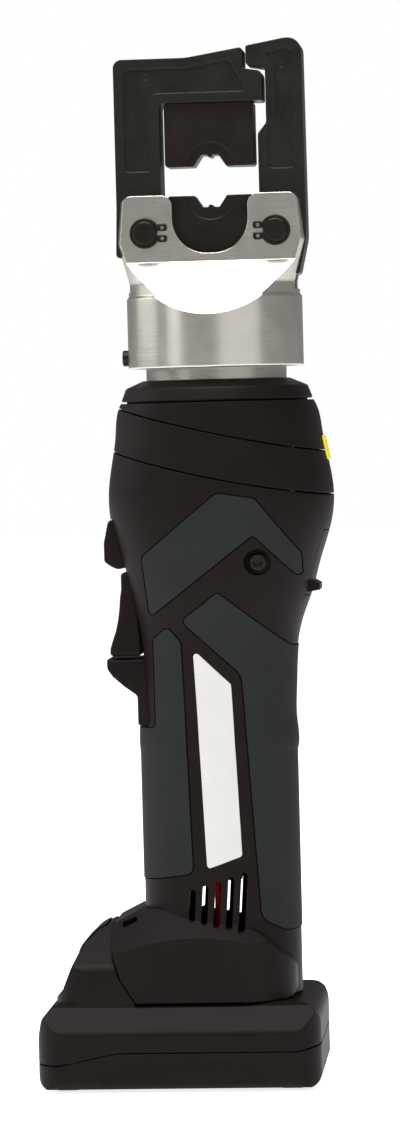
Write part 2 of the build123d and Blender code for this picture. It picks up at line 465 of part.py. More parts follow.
def crown():
    """Nose cap, slanted band and the collar over them."""
    ring = BODY - CAVITY
    plate_z = NOSE_TOP_Z - RIB
    plate = body_form(-MERGE) & layer(plate_z, NOSE_TOP_Z + MARGIN)
    plate = plate - disc(BARREL_R + AIR, 0, SKY)
    under = below_seam(UPPER_SEAM, SEAM / 2)
    save("nose_cap", [(ring - under) + (plate - under)])
    band = (ring & below_seam(UPPER_SEAM, -SEAM / 2)) - below_seam(LOWER_SEAM, SEAM / 2)
    save("slanted_band", [band])
    low = NOSE_TOP_Z + SEAM
    inner = NECK_R + AIR
    profile = (
        (inner, NOSE_TOP_Z), (COLLAR_SEAT_R, NOSE_TOP_Z), (COLLAR_SEAT_R, low), (COLLAR_LOW_R, low),
        (COLLAR_SHOULDER_R, COLLAR_SHOULDER_Z), (inner + COLLAR_RIM, COLLAR_TOP_Z), (inner, COLLAR_TOP_Z),
    )
    save("front_collar", [turned(profile, COLLAR_RADII)])


def pads():
    skin = PAD_SKIN - foot_form(AIR)
    chevron = pad(CHEVRON, CHEVRON_RADII, skin)
    save("near_chevron_pad", [near(chevron)])
    save("far_chevron_pad", [far(chevron)])
    save("rear_grip", [pad(REAR_PAD, REAR_RADII, skin)])
    save("front_grip", [pad(FRONT_PAD, FRONT_RADII, skin)])
    label_skin = body_form(LABEL_PROUD) - body_form(PAD_BED - LABEL_DEPTH)
    save("label_plate", [near(pad(LABEL, LABEL_CORNER, label_skin))])
    marker = body_form(MARKER_PROUD) - body_form(SKIN_GAP)
    low, high = MARKER_Z - MARKER_TALL / 2, MARKER_Z + MARKER_TALL / 2
    save("rear_marker", [marker & block(0, FAR, -MARKER_HALF, MARKER_HALF, low, high)])


# Front of the grip

def lamp():
    back = HOOD_DEPTH_U - AIR
    profile = (
        (back, OPENING_HIGH_Z), HOOD_CHIN, HOOD_FRONT, HOOD_SLOPE_LOW, HOOD_SLOPE_TOP,
        (HOOD_BROW_U, HOOD_TOP_Z), (back, HOOD_TOP_Z),
    )
    hood = slab(profile, HOOD_HALF, HOOD_RADII)
    start = Vector(HOOD_SLOPE_LOW[0], 0, HOOD_SLOPE_LOW[1])
    slope = Vector(HOOD_SLOPE_TOP[0], 0, HOOD_SLOPE_TOP[1]) - start
    middle = start + slope * 0.5
    seat = Plane(middle, x_dir=(0, 1, 0), z_dir=(-slope.Z, 0, slope.X)).location
    lens = seat * Pos(0, 0, LENS_PROUD - LENS_DEPTH / 2) * Cylinder(LENS_RADIUS, LENS_DEPTH)
    pocket = seat * Pos(0, 0, LENS_PROUD - SEAT) * Cylinder(LENS_RADIUS + SEAT, 2 * LENS_DEPTH)
    save("lamp_hood", [hood - pocket])
    save("lamp_lens", [lens])


def trigger():
    lever = slab(TRIGGER, TRIGGER_HALF, TRIGGER_RADII)
    save("trigger", [lever - cross_rod(PIVOT_RADIUS + RUN, PIVOT_U, PIVOT_Z, -FAR, FAR)])


def finger_rest():
    save("finger_rest", [slab(REST, REST_HALF, REST_RADII)])


def retract_lever():
    skin = body_form(0) - body_form(-LEVER_THICK)
    half = LEVER_HALF_WIDTH
    plate = skin & block(0, FAR, -half, half, LEVER_LOW_Z, LEVER_HIGH_Z)
    fin_in = FIN_U - FIN_DEEP
    low, high = FIN_Z - FIN_TALL / 2, FIN_Z + FIN_TALL / 2
    profile = ((fin_in, FIN_Z - FIN_ROOT_LOW), (FIN_U, low), (FIN_U, high), (fin_in, FIN_Z + FIN_ROOT_HIGH))
    fin = slab(profile, half - FIN_SIDE)
    barrel = cross_rod(LEVER_BARREL_R, LEVER_PIN_U, LEVER_PIN_Z, -half, half)
    lever = plate + fin + barrel
    lever = lever - cross_rod(LEVER_PIN_R + RUN, LEVER_PIN_U, LEVER_PIN_Z, -FAR, FAR)
    save("retract_lever", [lever])


def pivot_pins():
    trigger_pin = cross_rod(PIVOT_RADIUS, PIVOT_U, PIVOT_Z, -PIVOT_REACH, PIVOT_REACH)
    lever_pin = cross_rod(LEVER_PIN_R, LEVER_PIN_U, LEVER_PIN_Z, -LEVER_PIN_REACH, LEVER_PIN_REACH)
    save("pivot_pins", [trigger_pin, lever_pin])


# Fasteners

def screw(bite):
    """Round-head screw along -Z, head seat at the origin, with a six-sided drive."""
    head = Pos(0, 0, SCREW_HEAD_TALL / 2) * Cylinder(SCREW_HEAD_R, SCREW_HEAD_TALL)
    head = fillet(head.edges().group_by(Axis.Z)[-1], SCREW_HEAD_TALL / 3)
    drive = extrude(RegularPolygon(SCREW_DRIVE, 6), SCREW_HEAD_TALL)
    shank = Pos(0, 0, -bite / 2) * Cylinder(SCREW_SHANK_R, bite)
    return head - Pos(0, 0, SCREW_HEAD_TALL / 3) * drive + shank


def screws():
    reach = SIDE_RECESS_V - BARREL_LOW_R + SIDE_SCREW_BITE
    side = Pos(SIDE_SCREW_U, -SIDE_RECESS_V, SIDE_SCREW_Z) * Rot(90, 0, 0) * screw(reach)
    row = both_sides(side)
    for u, z in SHELL_SCREWS:
        row.append(Pos(u, SHELL_HEAD_V, z) * Rot(-90, 0, 0) * screw(SHELL_HEAD_V + SHELL_BITE))
    save("housing_screws", row)


# Hydraulics

def hydraulics():
    barrel = disc(BARREL_LOW_R, BARREL_LOW_Z, BARREL_STEP_Z) + disc(BARREL_R, BARREL_STEP_Z, BARREL_TOP_Z)
    barrel = barrel + disc(NECK_R, BARREL_TOP_Z, NECK_TOP_Z)
    groove = tube(NECK_R + MARGIN, NECK_R - GROOVE_DEPTH, LOCK_Z - GROOVE_TALL / 2, LOCK_Z + GROOVE_TALL / 2)
    barrel = barrel - disc(BORE_R, BORE_LOW_Z, NECK_TOP_Z + MARGIN) - groove
    barrel = barrel - cross_rod(SCREW_SHANK_R + SEAT, SIDE_SCREW_U, SIDE_SCREW_Z, -FAR, FAR)
    barrel = barrel - disc(OIL_WAY_R, BARREL_LOW_Z - MARGIN, BORE_LOW_Z + MARGIN)
    save("cylinder", [barrel])
    save("rod_guide", [tube(BORE_R - SEAT, ROD_R + RUN, GUIDE_LOW_Z, NECK_TOP_Z - GUIDE_SUNK)])
    pump = disc(PUMP_R, PUMP_LOW_Z, BARREL_LOW_Z) - block(-FAR, PUMP_FLAT_U, -FAR, FAR, 0, SKY)
    pump = pump - disc(PUMP_WELL_R, 0, PUMP_WELL_TOP_Z) - disc(PILOT_R + RUN, 0, PILOT_TOP_Z)
    pump = pump - long_rod(PLUNGER_R + RUN, 0, PLUNGER_Z, 0, PLUNGER_OUT_U)
    pump = pump - long_rod(VALVE_R + RUN, 0, VALVE_Z, VALVE_BORE_U, FAR)
    save("pump_block", [pump])
    start = BEARING_R + ECCENTRICITY + PLUNGER_GAP
    save("pump_plunger", [long_rod(PLUNGER_R, 0, PLUNGER_Z, start, PLUNGER_OUT_U)])
    save("return_valve", [long_rod(VALVE_R, 0, VALVE_Z, VALVE_IN_U, VALVE_OUT_U)])
    bag = tube(BLADDER_OUT, BLADDER_OUT - BLADDER_THICK, BLADDER_LOW_Z, BLADDER_HIGH_Z)
    spread = SEAM_REACH * math.tan(math.radians(BLADDER_HALF_ANGLE))
    wedge = make_face(Polyline((0, 0), (-SEAM_REACH, spread), (-SEAM_REACH, -spread), close=True))
    save("oil_bladder", [bag & extrude(wedge, SKY)])


def ram():
    top = PISTON_LOW_Z + PISTON_TALL
    body = disc(BORE_R - RUN, PISTON_LOW_Z, top) + disc(ROD_R, top, ROD_TOP_Z)
    middle = PISTON_LOW_Z + PISTON_TALL / 2
    low, high = middle - SEAL_TALL / 2, middle + SEAL_TALL / 2
    body = body - tube(BORE_R + MARGIN, BORE_R - SEAL_DEPTH, low, high)
    body = body - disc(DOWEL_R + SEAT, ROD_TOP_Z - DOWEL_TALL - AIR, ROD_TOP_Z)
    save("ram", [body])
    save("piston_seal", [tube(BORE_R - RUN, BORE_R - SEAL_DEPTH + SEAT, low + SEAT, high - SEAT)])
    pitch = (GUIDE_LOW_Z - top - SPRING_WIRE - 2 * RUN) / SPRING_TURNS
    path = Helix(pitch, pitch, SPRING_MEAN_R)
    turn = sweep((path ^ 0) * Circle(SPRING_WIRE / 2), path=path)
    coil = turn
    for i in range(1, SPRING_TURNS):
        coil = coil + Pos(0, 0, pitch * i) * turn
    save("return_spring", [Pos(0, 0, top + SPRING_WIRE / 2 + RUN) * coil])


# Gear stage and motor

def involute(angle):
    return math.tan(angle) - angle


def gear_face(teeth, thickness, outward, inward):
    """Spur gear outline with a tooth centred on +X and flanks cut straight."""
    pitch_r = MODULE * teeth / 2
    base_r = pitch_r * math.cos(math.radians(PRESSURE))
    root_r, tip_r = pitch_r - inward, pitch_r + outward
    start = max(root_r, base_r)
    middle_turn = thickness / (2 * pitch_r) + involute(math.radians(PRESSURE))
    points = []
    for tooth in range(teeth):
        middle = 2 * math.pi * tooth / teeth
        flank = [(root_r, start)] if root_r < base_r else []
        flank += [(start, start), (tip_r, tip_r)]
        half = [(r, middle_turn - involute(math.acos(base_r / at))) for r, at in flank]
        points += [(r * math.cos(middle - a), r * math.sin(middle - a)) for r, a in half]
        points += [(r * math.cos(middle + a), r * math.sin(middle + a)) for r, a in reversed(half)]
    return make_face(Polyline(*points, close=True))


TOOTH = math.pi * MODULE / 2
OUTWARD, INWARD = ADDENDUM * MODULE, DEDENDUM * MODULE
PLANET_ORBIT = MODULE * (SUN_TEETH + PLANET_TEETH) / 2


def external_gear(teeth, bore):
    gear = extrude(gear_face(teeth, TOOTH - BACKLASH / 2, OUTWARD, INWARD), GEAR_TALL)
    return Pos(0, 0, GEAR_LOW_Z) * gear - disc(bore, 0, SKY)


def gear_stage():
    space = gear_face(RING_TEETH, TOOTH + BACKLASH / 2, INWARD, OUTWARD)
    turn = Rot(0, 0, 180 / RING_TEETH)
    ring_floor = CASE_LOW_Z + CASE_FLOOR
    case = disc(CASE_R, CASE_LOW_Z, PUMP_LOW_Z)
    case = case - Pos(0, 0, ring_floor) * turn * extrude(space, RING_TOP_Z - ring_floor)
    case = case - disc(CARRIER_R + CARRIER_ROOM, RING_TOP_Z - LAND, CASE_PLATE_Z)
    case = case - disc(SHAFT_R + RUN, CASE_LOW_Z - MARGIN, SKY)
    case = case - disc(CASE_EYE_R, CASE_LOW_Z - MARGIN, ring_floor + MARGIN)
    save("gear_case", [case])
    save("sun_pinion", [external_gear(SUN_TEETH, MOTOR_SHAFT_R + SEAT)])
    planet = Rot(0, 0, 180 / PLANET_TEETH) * external_gear(PLANET_TEETH, PLANET_PIN_R + RUN)
    for i in range(PLANETS):
        save(f"planet_gear_{i + 1}", [Rot(0, 0, 360 * i / PLANETS) * Pos(PLANET_ORBIT, 0, 0) * planet])
    plate_low = GEAR_LOW_Z + GEAR_TALL + CARRIER_GAP
    carrier = disc(CARRIER_R, plate_low, plate_low + CARRIER_TALL)
    for i in range(PLANETS):
        pin = Pos(PLANET_ORBIT, 0, 0) * disc(PLANET_PIN_R, GEAR_LOW_Z, plate_low)
        carrier = carrier + Rot(0, 0, 360 * i / PLANETS) * pin
    top = ECCENTRIC_LOW_Z + ECCENTRIC_TALL
    carrier = carrier + disc(SHAFT_R, plate_low, ECCENTRIC_LOW_Z - LAND)
    carrier = carrier + Pos(ECCENTRICITY, 0, 0) * disc(ECCENTRIC_R, ECCENTRIC_LOW_Z - LAND, top)
    carrier = carrier + disc(PILOT_R - UNDERCUT, top, top + LAND)
    carrier = carrier + disc(PILOT_R, top + LAND, PILOT_TOP_Z - AIR)
    save("planet_carrier", [carrier])
    ring = tube(BEARING_R, ECCENTRIC_R + SEAT, ECCENTRIC_LOW_Z, top - AIR)
    save("eccentric_bearing", [Pos(ECCENTRICITY, 0, 0) * ring])


def motor():
    inner = MOTOR_R - CAN_WALL
    can = disc(MOTOR_R, MOTOR_LOW_Z, CASE_LOW_Z) - disc(inner, 0, CASE_LOW_Z - CAN_LID)
    can = can - disc(MOTOR_SHAFT_R + RUN, 0, SKY)
    save("motor_can", [can])
    spread = math.radians(MAGNET_ANGLE / 2)
    along, across = FAR * math.cos(spread), FAR * math.sin(spread)
    wedge = make_face(Polyline((0, 0), (along, across), (along, -across), close=True))
    magnet = tube(inner - SEAT, MAGNET_IN, MAGNET_LOW_Z, MAGNET_HIGH_Z) & extrude(wedge, SKY)
    save("motor_magnets", [magnet, Rot(0, 0, 180) * magnet])
    cap = disc(MOTOR_R, MOTOR_LOW_Z - CAP_TALL, MOTOR_LOW_Z)
    cap = cap + disc(CAP_BOSS_R, MOTOR_LOW_Z - CAP_TALL - CAP_BOSS_TALL, MOTOR_LOW_Z)
    save("motor_end_cap", [cap - disc(MOTOR_SHAFT_R + RUN, MOTOR_SHAFT_LOW_Z - SHAFT_END_GAP, SKY)])
    shaft = disc(MOTOR_SHAFT_R, MOTOR_SHAFT_LOW_Z, GEAR_LOW_Z + GEAR_TALL)
    stack = disc(STACK_R, STACK_LOW_Z, STACK_HIGH_Z)
    for i in range(STACK_SLOTS):
        slot = block(STACK_CORE_R, STACK_R + MARGIN, -STACK_SLOT / 2, STACK_SLOT / 2, 0, SKY)
        stack = stack - Rot(0, 0, 360 * i / STACK_SLOTS) * slot
    save("armature", [shaft + stack + disc(COMMUTATOR_R, COMMUTATOR_LOW_Z, COMMUTATOR_HIGH_Z)])


# Electrics

def electrics():
    body = block(SWITCH_U, SWITCH_U + SWITCH_DEEP, -SWITCH_HALF, SWITCH_HALF, SWITCH_LOW_Z, SWITCH_HIGH_Z)
    plunger_in = SWITCH_U + PUSH_IN + PUSH_SPARE
    body = body - long_rod(PUSH_R + RUN, 0, PUSH_Z, SWITCH_U - MARGIN, plunger_in + PUSH_IN + AIR)
    save("trigger_switch", [body])
    save("switch_plunger", [long_rod(PUSH_R, 0, PUSH_Z, TRIGGER_WEB_U + AIR, plunger_in)])
    board = block(BOARD_U, BOARD_U + BOARD_THICK, -BOARD_HALF, BOARD_HALF, BOARD_LOW_Z, BOARD_HIGH_Z)
    face = BOARD_U + BOARD_THICK
    for z, tall, half in CHIPS:
        board = board + block(face, face + CHIP_THICK, -half, half, z - tall / 2, z + tall / 2)
    save("control_board", [board])
    terminal_half = FOOT_HALF - WALL - AIR
    x0, x1 = TERMINAL_X0 - AXIS_X, TERMINAL_X1 - AXIS_X
    base = block(x0, x1, -terminal_half, terminal_half, TERMINAL_LOW_Z, TERMINAL_HIGH_Z)
    blades = []
    for side in (-1, 1):
        low, high = side * BLADE_V - BLADE_THICK / 2, side * BLADE_V + BLADE_THICK / 2
        x0, x1 = BLADE_X0 - AXIS_X, BLADE_X1 - AXIS_X
        blades.append(block(x0, x1, low, high, BLADE_LOW_Z, TERMINAL_HIGH_Z + BLADE_TAB))
        base = base - block(x0 - SEAT, x1 + SEAT, low - SEAT, high + SEAT, 0, SKY)
    save("terminal_block", [base])
    save("contact_blades", blades)


def wires():
    """Leads from the contact blades up to the motor's end cap."""
    start_z = TERMINAL_HIGH_Z + BLADE_TAB + SKIN_GAP
    end_z = MOTOR_LOW_Z - CAP_TALL - SKIN_GAP
    middle = (BLADE_X0 + BLADE_X1) / 2 - AXIS_X
    for name, side in (("red_wire", -1), ("black_wire", 1)):
        low_v, high_v = side * BLADE_V, side * (BLADE_V + WIRE_SPREAD)
        route = (
            (middle, low_v, start_z), (middle + WIRE_LEAN / 2, low_v, start_z + WIRE_FOOT),
            (middle + WIRE_LEAN, high_v, end_z - WIRE_HEAD), (middle + WIRE_LEAN, high_v, end_z),
        )
        path = FilletPolyline(*route, radius=WIRE_BEND)
        save(name, [sweep(Plane(path @ 0, z_dir=path % 0) * Circle(WIRE_R), path=path)])


# Head

def clevis():
    top = CLEVIS_TOP_Z
    profile = (
        (0, CLEVIS_LOW_Z), (CLEVIS_R, CLEVIS_LOW_Z), (CLEVIS_R, CLEVIS_STEP_Z),
        (CLEVIS_WAIST_R, CLEVIS_STEP_TOP_Z), (CLEVIS_WAIST_R, CLEVIS_WAIST_Z),
        (CLEVIS_WIDE_R, CLEVIS_WIDE_Z), (CLEVIS_TOP_R, top), (0, top),
    )
    body = turned(profile, CLEVIS_RADII)
    wide = CHEEK_V + FAR
    slope = ((CHEEK_V, SKY), (CHEEK_V, CHEEK_LOW_Z), (wide, CHEEK_LOW_Z - FAR), (wide, SKY))
    flank = Plane.YZ * make_face(Polyline(*slope, close=True))
    for cut in both_sides(extrude(flank, FAR, both=True)):
        body = body - cut
    body = body - block(-FAR, FAR, -SLOT_V, SLOT_V, SLOT_FLOOR_Z, SKY)
    wing = NOTCH_HALF + NOTCH_WING
    notch = (
        (-wing, top + NOTCH_WING), (-wing, top), (-NOTCH_HALF, top), (-NOTCH_HALF, NOTCH_LOW_Z),
        (NOTCH_HALF, NOTCH_LOW_Z), (NOTCH_HALF, top), (wing, top), (wing, top + NOTCH_WING),
    )
    body = body - slab(notch, FAR, (0, 0, NOTCH_LIP, NOTCH_RADIUS, NOTCH_RADIUS, NOTCH_LIP, 0, 0))
    body = body - disc(NECK_R + RUN, 0, WEB_Z) - disc(ROD_R + AIR, 0, SKY)
    for side in (-1, 1):
        body = body - cross_rod(PIN_R + SEAT, side * PIN_U, PIN_Z, -FAR, FAR)
    shoulder = LOCK_SHOULDER - CLEVIS_R
    body = body - long_rod(LOCK_R + SEAT, 0, LOCK_Z, -FAR, shoulder)
    body = body - long_rod(LOCK_TIP_R + SEAT, 0, LOCK_Z, -FAR, 0)
    save("clevis", [body])
    cap = long_rod(LOCK_R, 0, LOCK_Z, -CLEVIS_R - LOCK_PROUD, shoulder)
    tip = long_rod(LOCK_TIP_R, 0, LOCK_Z, shoulder, GROOVE_DEPTH - AIR - NECK_R)
    save("lock_screw", [cap + tip])


def pins():
    rods, rings = [], []
    groove_v = CHEEK_V + RUN
    for side in (-1, 1):
        rod = cross_rod(PIN_R, 0, 0, -PIN_REACH, PIN_REACH)
        rod = chamfer(rod.edges(), PIN_CHAMFER)
        for end in (-1, 1):
            low, high = sorted((end * groove_v, end * (groove_v + RING_THICK + 2 * RUN)))
            core = cross_rod(RING_IN - RUN, 0, 0, low, high)
            rod = rod - (cross_rod(PIN_R + MARGIN, 0, 0, low, high) - core)
        rods.append(Pos(side * PIN_U, 0, PIN_Z) * rod)
        gap = Pos(FAR / 2, 0) * Rectangle(FAR, RING_GAP)
        face = Circle(RING_OUT) - Circle(RING_IN) - gap
        for lug in (-1, 1):
            at = Pos(LUG_OUT, lug * ((RING_GAP + LUG_WIDE) / 2 - LUG_SINK))
            face = face + (at * RectangleRounded(LUG_LONG, LUG_WIDE, LUG_CORNER) - Circle(RING_IN) - gap)
            face = face - at * Circle(LUG_HOLE_R)
        ring = extrude(face, RING_THICK)
        turn = Rot(0, 180 if side > 0 else 0, 0)
        for end in (-1, 1):
            low = groove_v + RUN if end > 0 else -groove_v - RING_THICK - RUN
            rings.append(Pos(side * PIN_U, low + RING_THICK, PIN_Z) * turn * Rot(90, 0, 0) * ring)
    save("hinge_pins", rods)
    save("retaining_rings", rings)


def hinged_jaw():
    """L-shaped arm with the top bar and its tongue."""
    low = PIN_Z - EYE_R
    profile = (
        (-JAW_OUT - JAW_FLARE, low - JAW_HEEL), (-JAW_OUT, JAW_FLARE_Z), (-JAW_OUT, JAW_TOP_Z),
        (BAR_BEND_U, JAW_TOP_Z), (HOOK_U, HOOK_TOP_Z), (HOOK_U, HOOK_LOW_Z),
        (TONGUE_U, HOOK_LOW_Z - HOOK_DROP), (TONGUE_U, BAR_LOW_Z), (-JAW_IN, BAR_LOW_Z),
        (-JAW_IN, JAW_IN_Z), (-PIN_U + EYE_SIDE, PIN_Z + EYE_RISE), (-PIN_U, PIN_Z), (-PIN_U, low),
    )
    arm = slab(profile, JAW_V, JAW_RADII)
    arm = arm + cross_rod(EYE_R, -PIN_U, PIN_Z, -JAW_V, JAW_V)
    outer, inner = JAW_BORDER - JAW_OUT, -JAW_IN - JAW_BORDER
    top, bar = JAW_TOP_Z - JAW_BORDER, BAR_LOW_Z + JAW_BORDER
    pocket = (
        (outer, POCKET_LOW_Z), (outer, top), (BAR_BEND_U, top),
        (HOOK_U - POCKET_HOOK, HOOK_TOP_Z - POCKET_HOOK_DROP), (TONGUE_U - POCKET_TONGUE, bar),
        (inner, bar), (inner, POCKET_LOW_Z),
    )
    arm = arm - pocket_pair(pocket, JAW_POCKET_RADII)
    arm = arm - cross_rod(PIN_R + RUN, -PIN_U, PIN_Z, -FAR, FAR)
    arm = arm - disc(DOWEL_R + SEAT, BAR_LOW_Z - MARGIN, BAR_LOW_Z + DOWEL_TALL + AIR)
    save("hinged_jaw", [arm - dimples(JAW_DIMPLE)])


def pocket_pair(points, radii):
    """Shallow recess in both faces of a jaw."""
    floor = JAW_V - JAW_POCKET
    return slab(points, JAW_V + MARGIN, radii) - block(-FAR, FAR, -floor, floor, 0, SKY)


def dimples(place):
    """Small round marks in both pocket floors of a jaw."""
    floor = JAW_V - JAW_POCKET - DIMPLE_DEEP
    return cross_rod(DIMPLE_R, *place, floor, JAW_V) + cross_rod(DIMPLE_R, *place, -JAW_V, -floor)


def latch_jaw():
    """Arm whose hook closes over the tongue, with its thumb tail below the pin."""
    hook_u, low = HOOK_U + HOOK_GAP, PIN_Z - EYE_R
    inner_u = TONGUE_U + HOOK_GAP
    under_z = HOOK_LOW_Z + HOOK_GAP
    profile = (
        (hook_u, HOOK_TOP_Z + LATCH_LIFT), (LATCH_PEAK_U, LATCH_PEAK_Z), (JAW_OUT, LATCH_PEAK_Z),
        (JAW_OUT + LATCH_FLARE, LATCH_FLARE_Z), (JAW_OUT - LATCH_TAIL_OUT, LATCH_TAIL_Z),
        (JAW_OUT - LATCH_TAIL_IN, LATCH_TAIL_Z), (PIN_U + LATCH_ROOT, low), (PIN_U, PIN_Z),
        (PIN_U - EYE_SIDE, PIN_Z + EYE_RISE), (JAW_IN, JAW_IN_Z), (JAW_IN, LATCH_STEP_LOW_Z),
        (inner_u, LATCH_STEP_HIGH_Z), (inner_u, under_z - HOOK_DROP), (hook_u, under_z),
    )
    arm = slab(profile, JAW_V, LATCH_RADII)
    arm = arm + cross_rod(EYE_R, PIN_U, PIN_Z, -JAW_V, JAW_V)
    outer, inner = JAW_OUT - JAW_BORDER, JAW_IN + JAW_BORDER
    top, step_u = LATCH_PEAK_Z - JAW_BORDER, inner_u + JAW_BORDER
    pocket = (
        (inner_u - POCKET_NOSE, HOOK_TOP_Z - POCKET_NOSE_DROP), (LATCH_PEAK_U, top),
        (outer, top - POCKET_EASE), (outer, POCKET_LOW_Z), (inner, POCKET_LOW_Z),
        (inner, LATCH_STEP_LOW_Z + POCKET_EASE), (step_u, LATCH_STEP_HIGH_Z + 2 * POCKET_EASE),
        (step_u, under_z - POCKET_EASE),
    )
    arm = arm - pocket_pair(pocket, LATCH_POCKET_RADII)
    arm = arm - cross_rod(PIN_R + RUN, PIN_U, PIN_Z, -FAR, FAR)
    save("latch_jaw", [arm - dimples(LATCH_DIMPLE)])


def hex_notch(face_z, up):
    """Half of the crimp's six-sided nest, opening at face_z, with a small nib on its flat."""
    flat_z = face_z + up * HEX_DEEP
    mouth_z = face_z - up * MARGIN
    points = (
        (-HEX_HALF, mouth_z), (-HEX_HALF, face_z), (-HEX_FLAT, flat_z),
        (HEX_FLAT, flat_z), (HEX_HALF, face_z), (HEX_HALF, mouth_z),
    )
    return slab(points, FAR) - cross_rod(NIB_R, 0, flat_z, -FAR, FAR)


def die(half, face_z, back_z):
    """Crimping die with its nest at face_z, its dowel at back_z, and round relief on its faces."""
    low, high = sorted((face_z, back_z))
    up = 1 if back_z > face_z else -1
    body = block(-half, half, -DIE_V, DIE_V, low, high)
    body = chamfer(body.edges().filter_by(Axis.Y), DIE_CHAMFER)
    body = body - hex_notch(face_z, up)
    inner = DIE_V - DIE_RELIEF
    relief = cross_rod(DIE_RELIEF_R, 0, face_z, -FAR, FAR) - block(-FAR, FAR, -inner, inner, 0, SKY)
    low, high = sorted((back_z, back_z + up * DOWEL_TALL))
    return body - relief + disc(DOWEL_R, low, high)


def dies():
    save("upper_die", [die(DIE_HALF, UPPER_DIE_Z, BAR_LOW_Z)])
    save("lower_die", [die(LOWER_DIE_HALF, LOWER_DIE_Z, ROD_TOP_Z)])


# Battery

def pack_form(grow):
    """The pack's wide body: plan, side and cross-section cut from one block."""
    x, y, low, top = PACK_HALF_X, PACK_HALF_Y, PACK_LOW_Z, PACK_TOP_Z
    side = (
        (-x, low), (x, low), (x, top), (PACK_BROW - x, top),
        (PACK_BROW_LIP - x, top - PACK_BROW_DROP), (-x, PACK_CHIN_Z),
    )
    inset, crown_z = y - PACK_SHOULDER, top - PACK_CROWN_DROP
    section = (
        (-y, low), (y, low), (y, PACK_SIDE_Z), (inset, crown_z), (inset - PACK_CROWN, top),
        (PACK_CROWN - inset, top), (-inset, crown_z), (-y, PACK_SIDE_Z),
    )
    plan_face = offset(RectangleRounded(2 * (x + PLAN_EASE), 2 * (y + PLAN_EASE), PACK_CORNER), grow)
    side_face = offset(outline(side, PACK_SIDE_RADII), grow)
    section_line = FilletPolyline(*section, radius=PACK_SECTION_RADII, close=True)
    section_face = Plane.YZ * offset(make_face(section_line), grow)
    form = extrude(plan_face, ROOM) & extrude(side_face, ROOM, both=True)
    return form & extrude(section_face, ROOM, both=True)


def hump_form(grow):
    """The front hump with the release button, shaped to the foot's toe behind it."""
    toe, root = FOOT_TOE_X - SEAM, PACK_TOP_Z - HUMP_ROOT
    side = (
        (HUMP_STEP_X, root), (HUMP_STEP_X, HUMP_STEP_Z), (HUMP_FRONT_X, HUMP_FRONT_Z), *HUMP_SLOPE,
        (toe, TOE_TOP_Z - HUMP_DROP), (toe, TOE_SIDE_Z), (toe + TOE_TUCK, TOE_MID_Z),
        (toe + TOE_SLOPE, FOOT_Z), (toe + TOE_SLOPE, root),
    )
    side_face = offset(outline(side, HUMP_RADII), grow)
    roof = HUMP_HALF - (HUMP_TOP_Z - HUMP_SIDE_Z) / math.tan(math.radians(SHOULDER_SLOPE))
    section = (
        (-HUMP_HALF, 0), (HUMP_HALF, 0), (HUMP_HALF, HUMP_SIDE_Z), (roof, HUMP_TOP_Z),
        (-roof, HUMP_TOP_Z), (-HUMP_HALF, HUMP_SIDE_Z),
    )
    section_line = FilletPolyline(*section, radius=HUMP_SECTION_RADII, close=True)
    section_face = Plane.YZ * offset(make_face(section_line), grow)
    plan = ((HUMP_STEP_X, -HUMP_HALF), (0, -HUMP_HALF), (0, HUMP_HALF), (HUMP_STEP_X, HUMP_HALF))
    plan_radii = (HUMP_CORNER, 0, 0, HUMP_CORNER)
    plan_face = offset(make_face(FilletPolyline(*plan, radius=plan_radii, close=True)), grow)
    form = extrude(side_face, FAR, both=True) & extrude(section_face, ROOM, both=True)
    return form & extrude(plan_face, ROOM)


def pack_below(shift):
    """Everything under the seam between the pack's two shells."""
    front, rear = PACK_SEAM_FRONT_Z + shift, PACK_SEAM_Z + shift
    toe, bend, heel = PACK_SEAM_X
    line = (
        (-ROOM, 0), (-ROOM, front), (toe, front), (bend, rear), (heel, rear),
        (ROOM, rear + PACK_SEAM_RISE), (ROOM, 0),
    )
    ease = PACK_SEAM_EASE
    return slab(line, ROOM, (0, 0, ease, ease, ease, 0, 0))


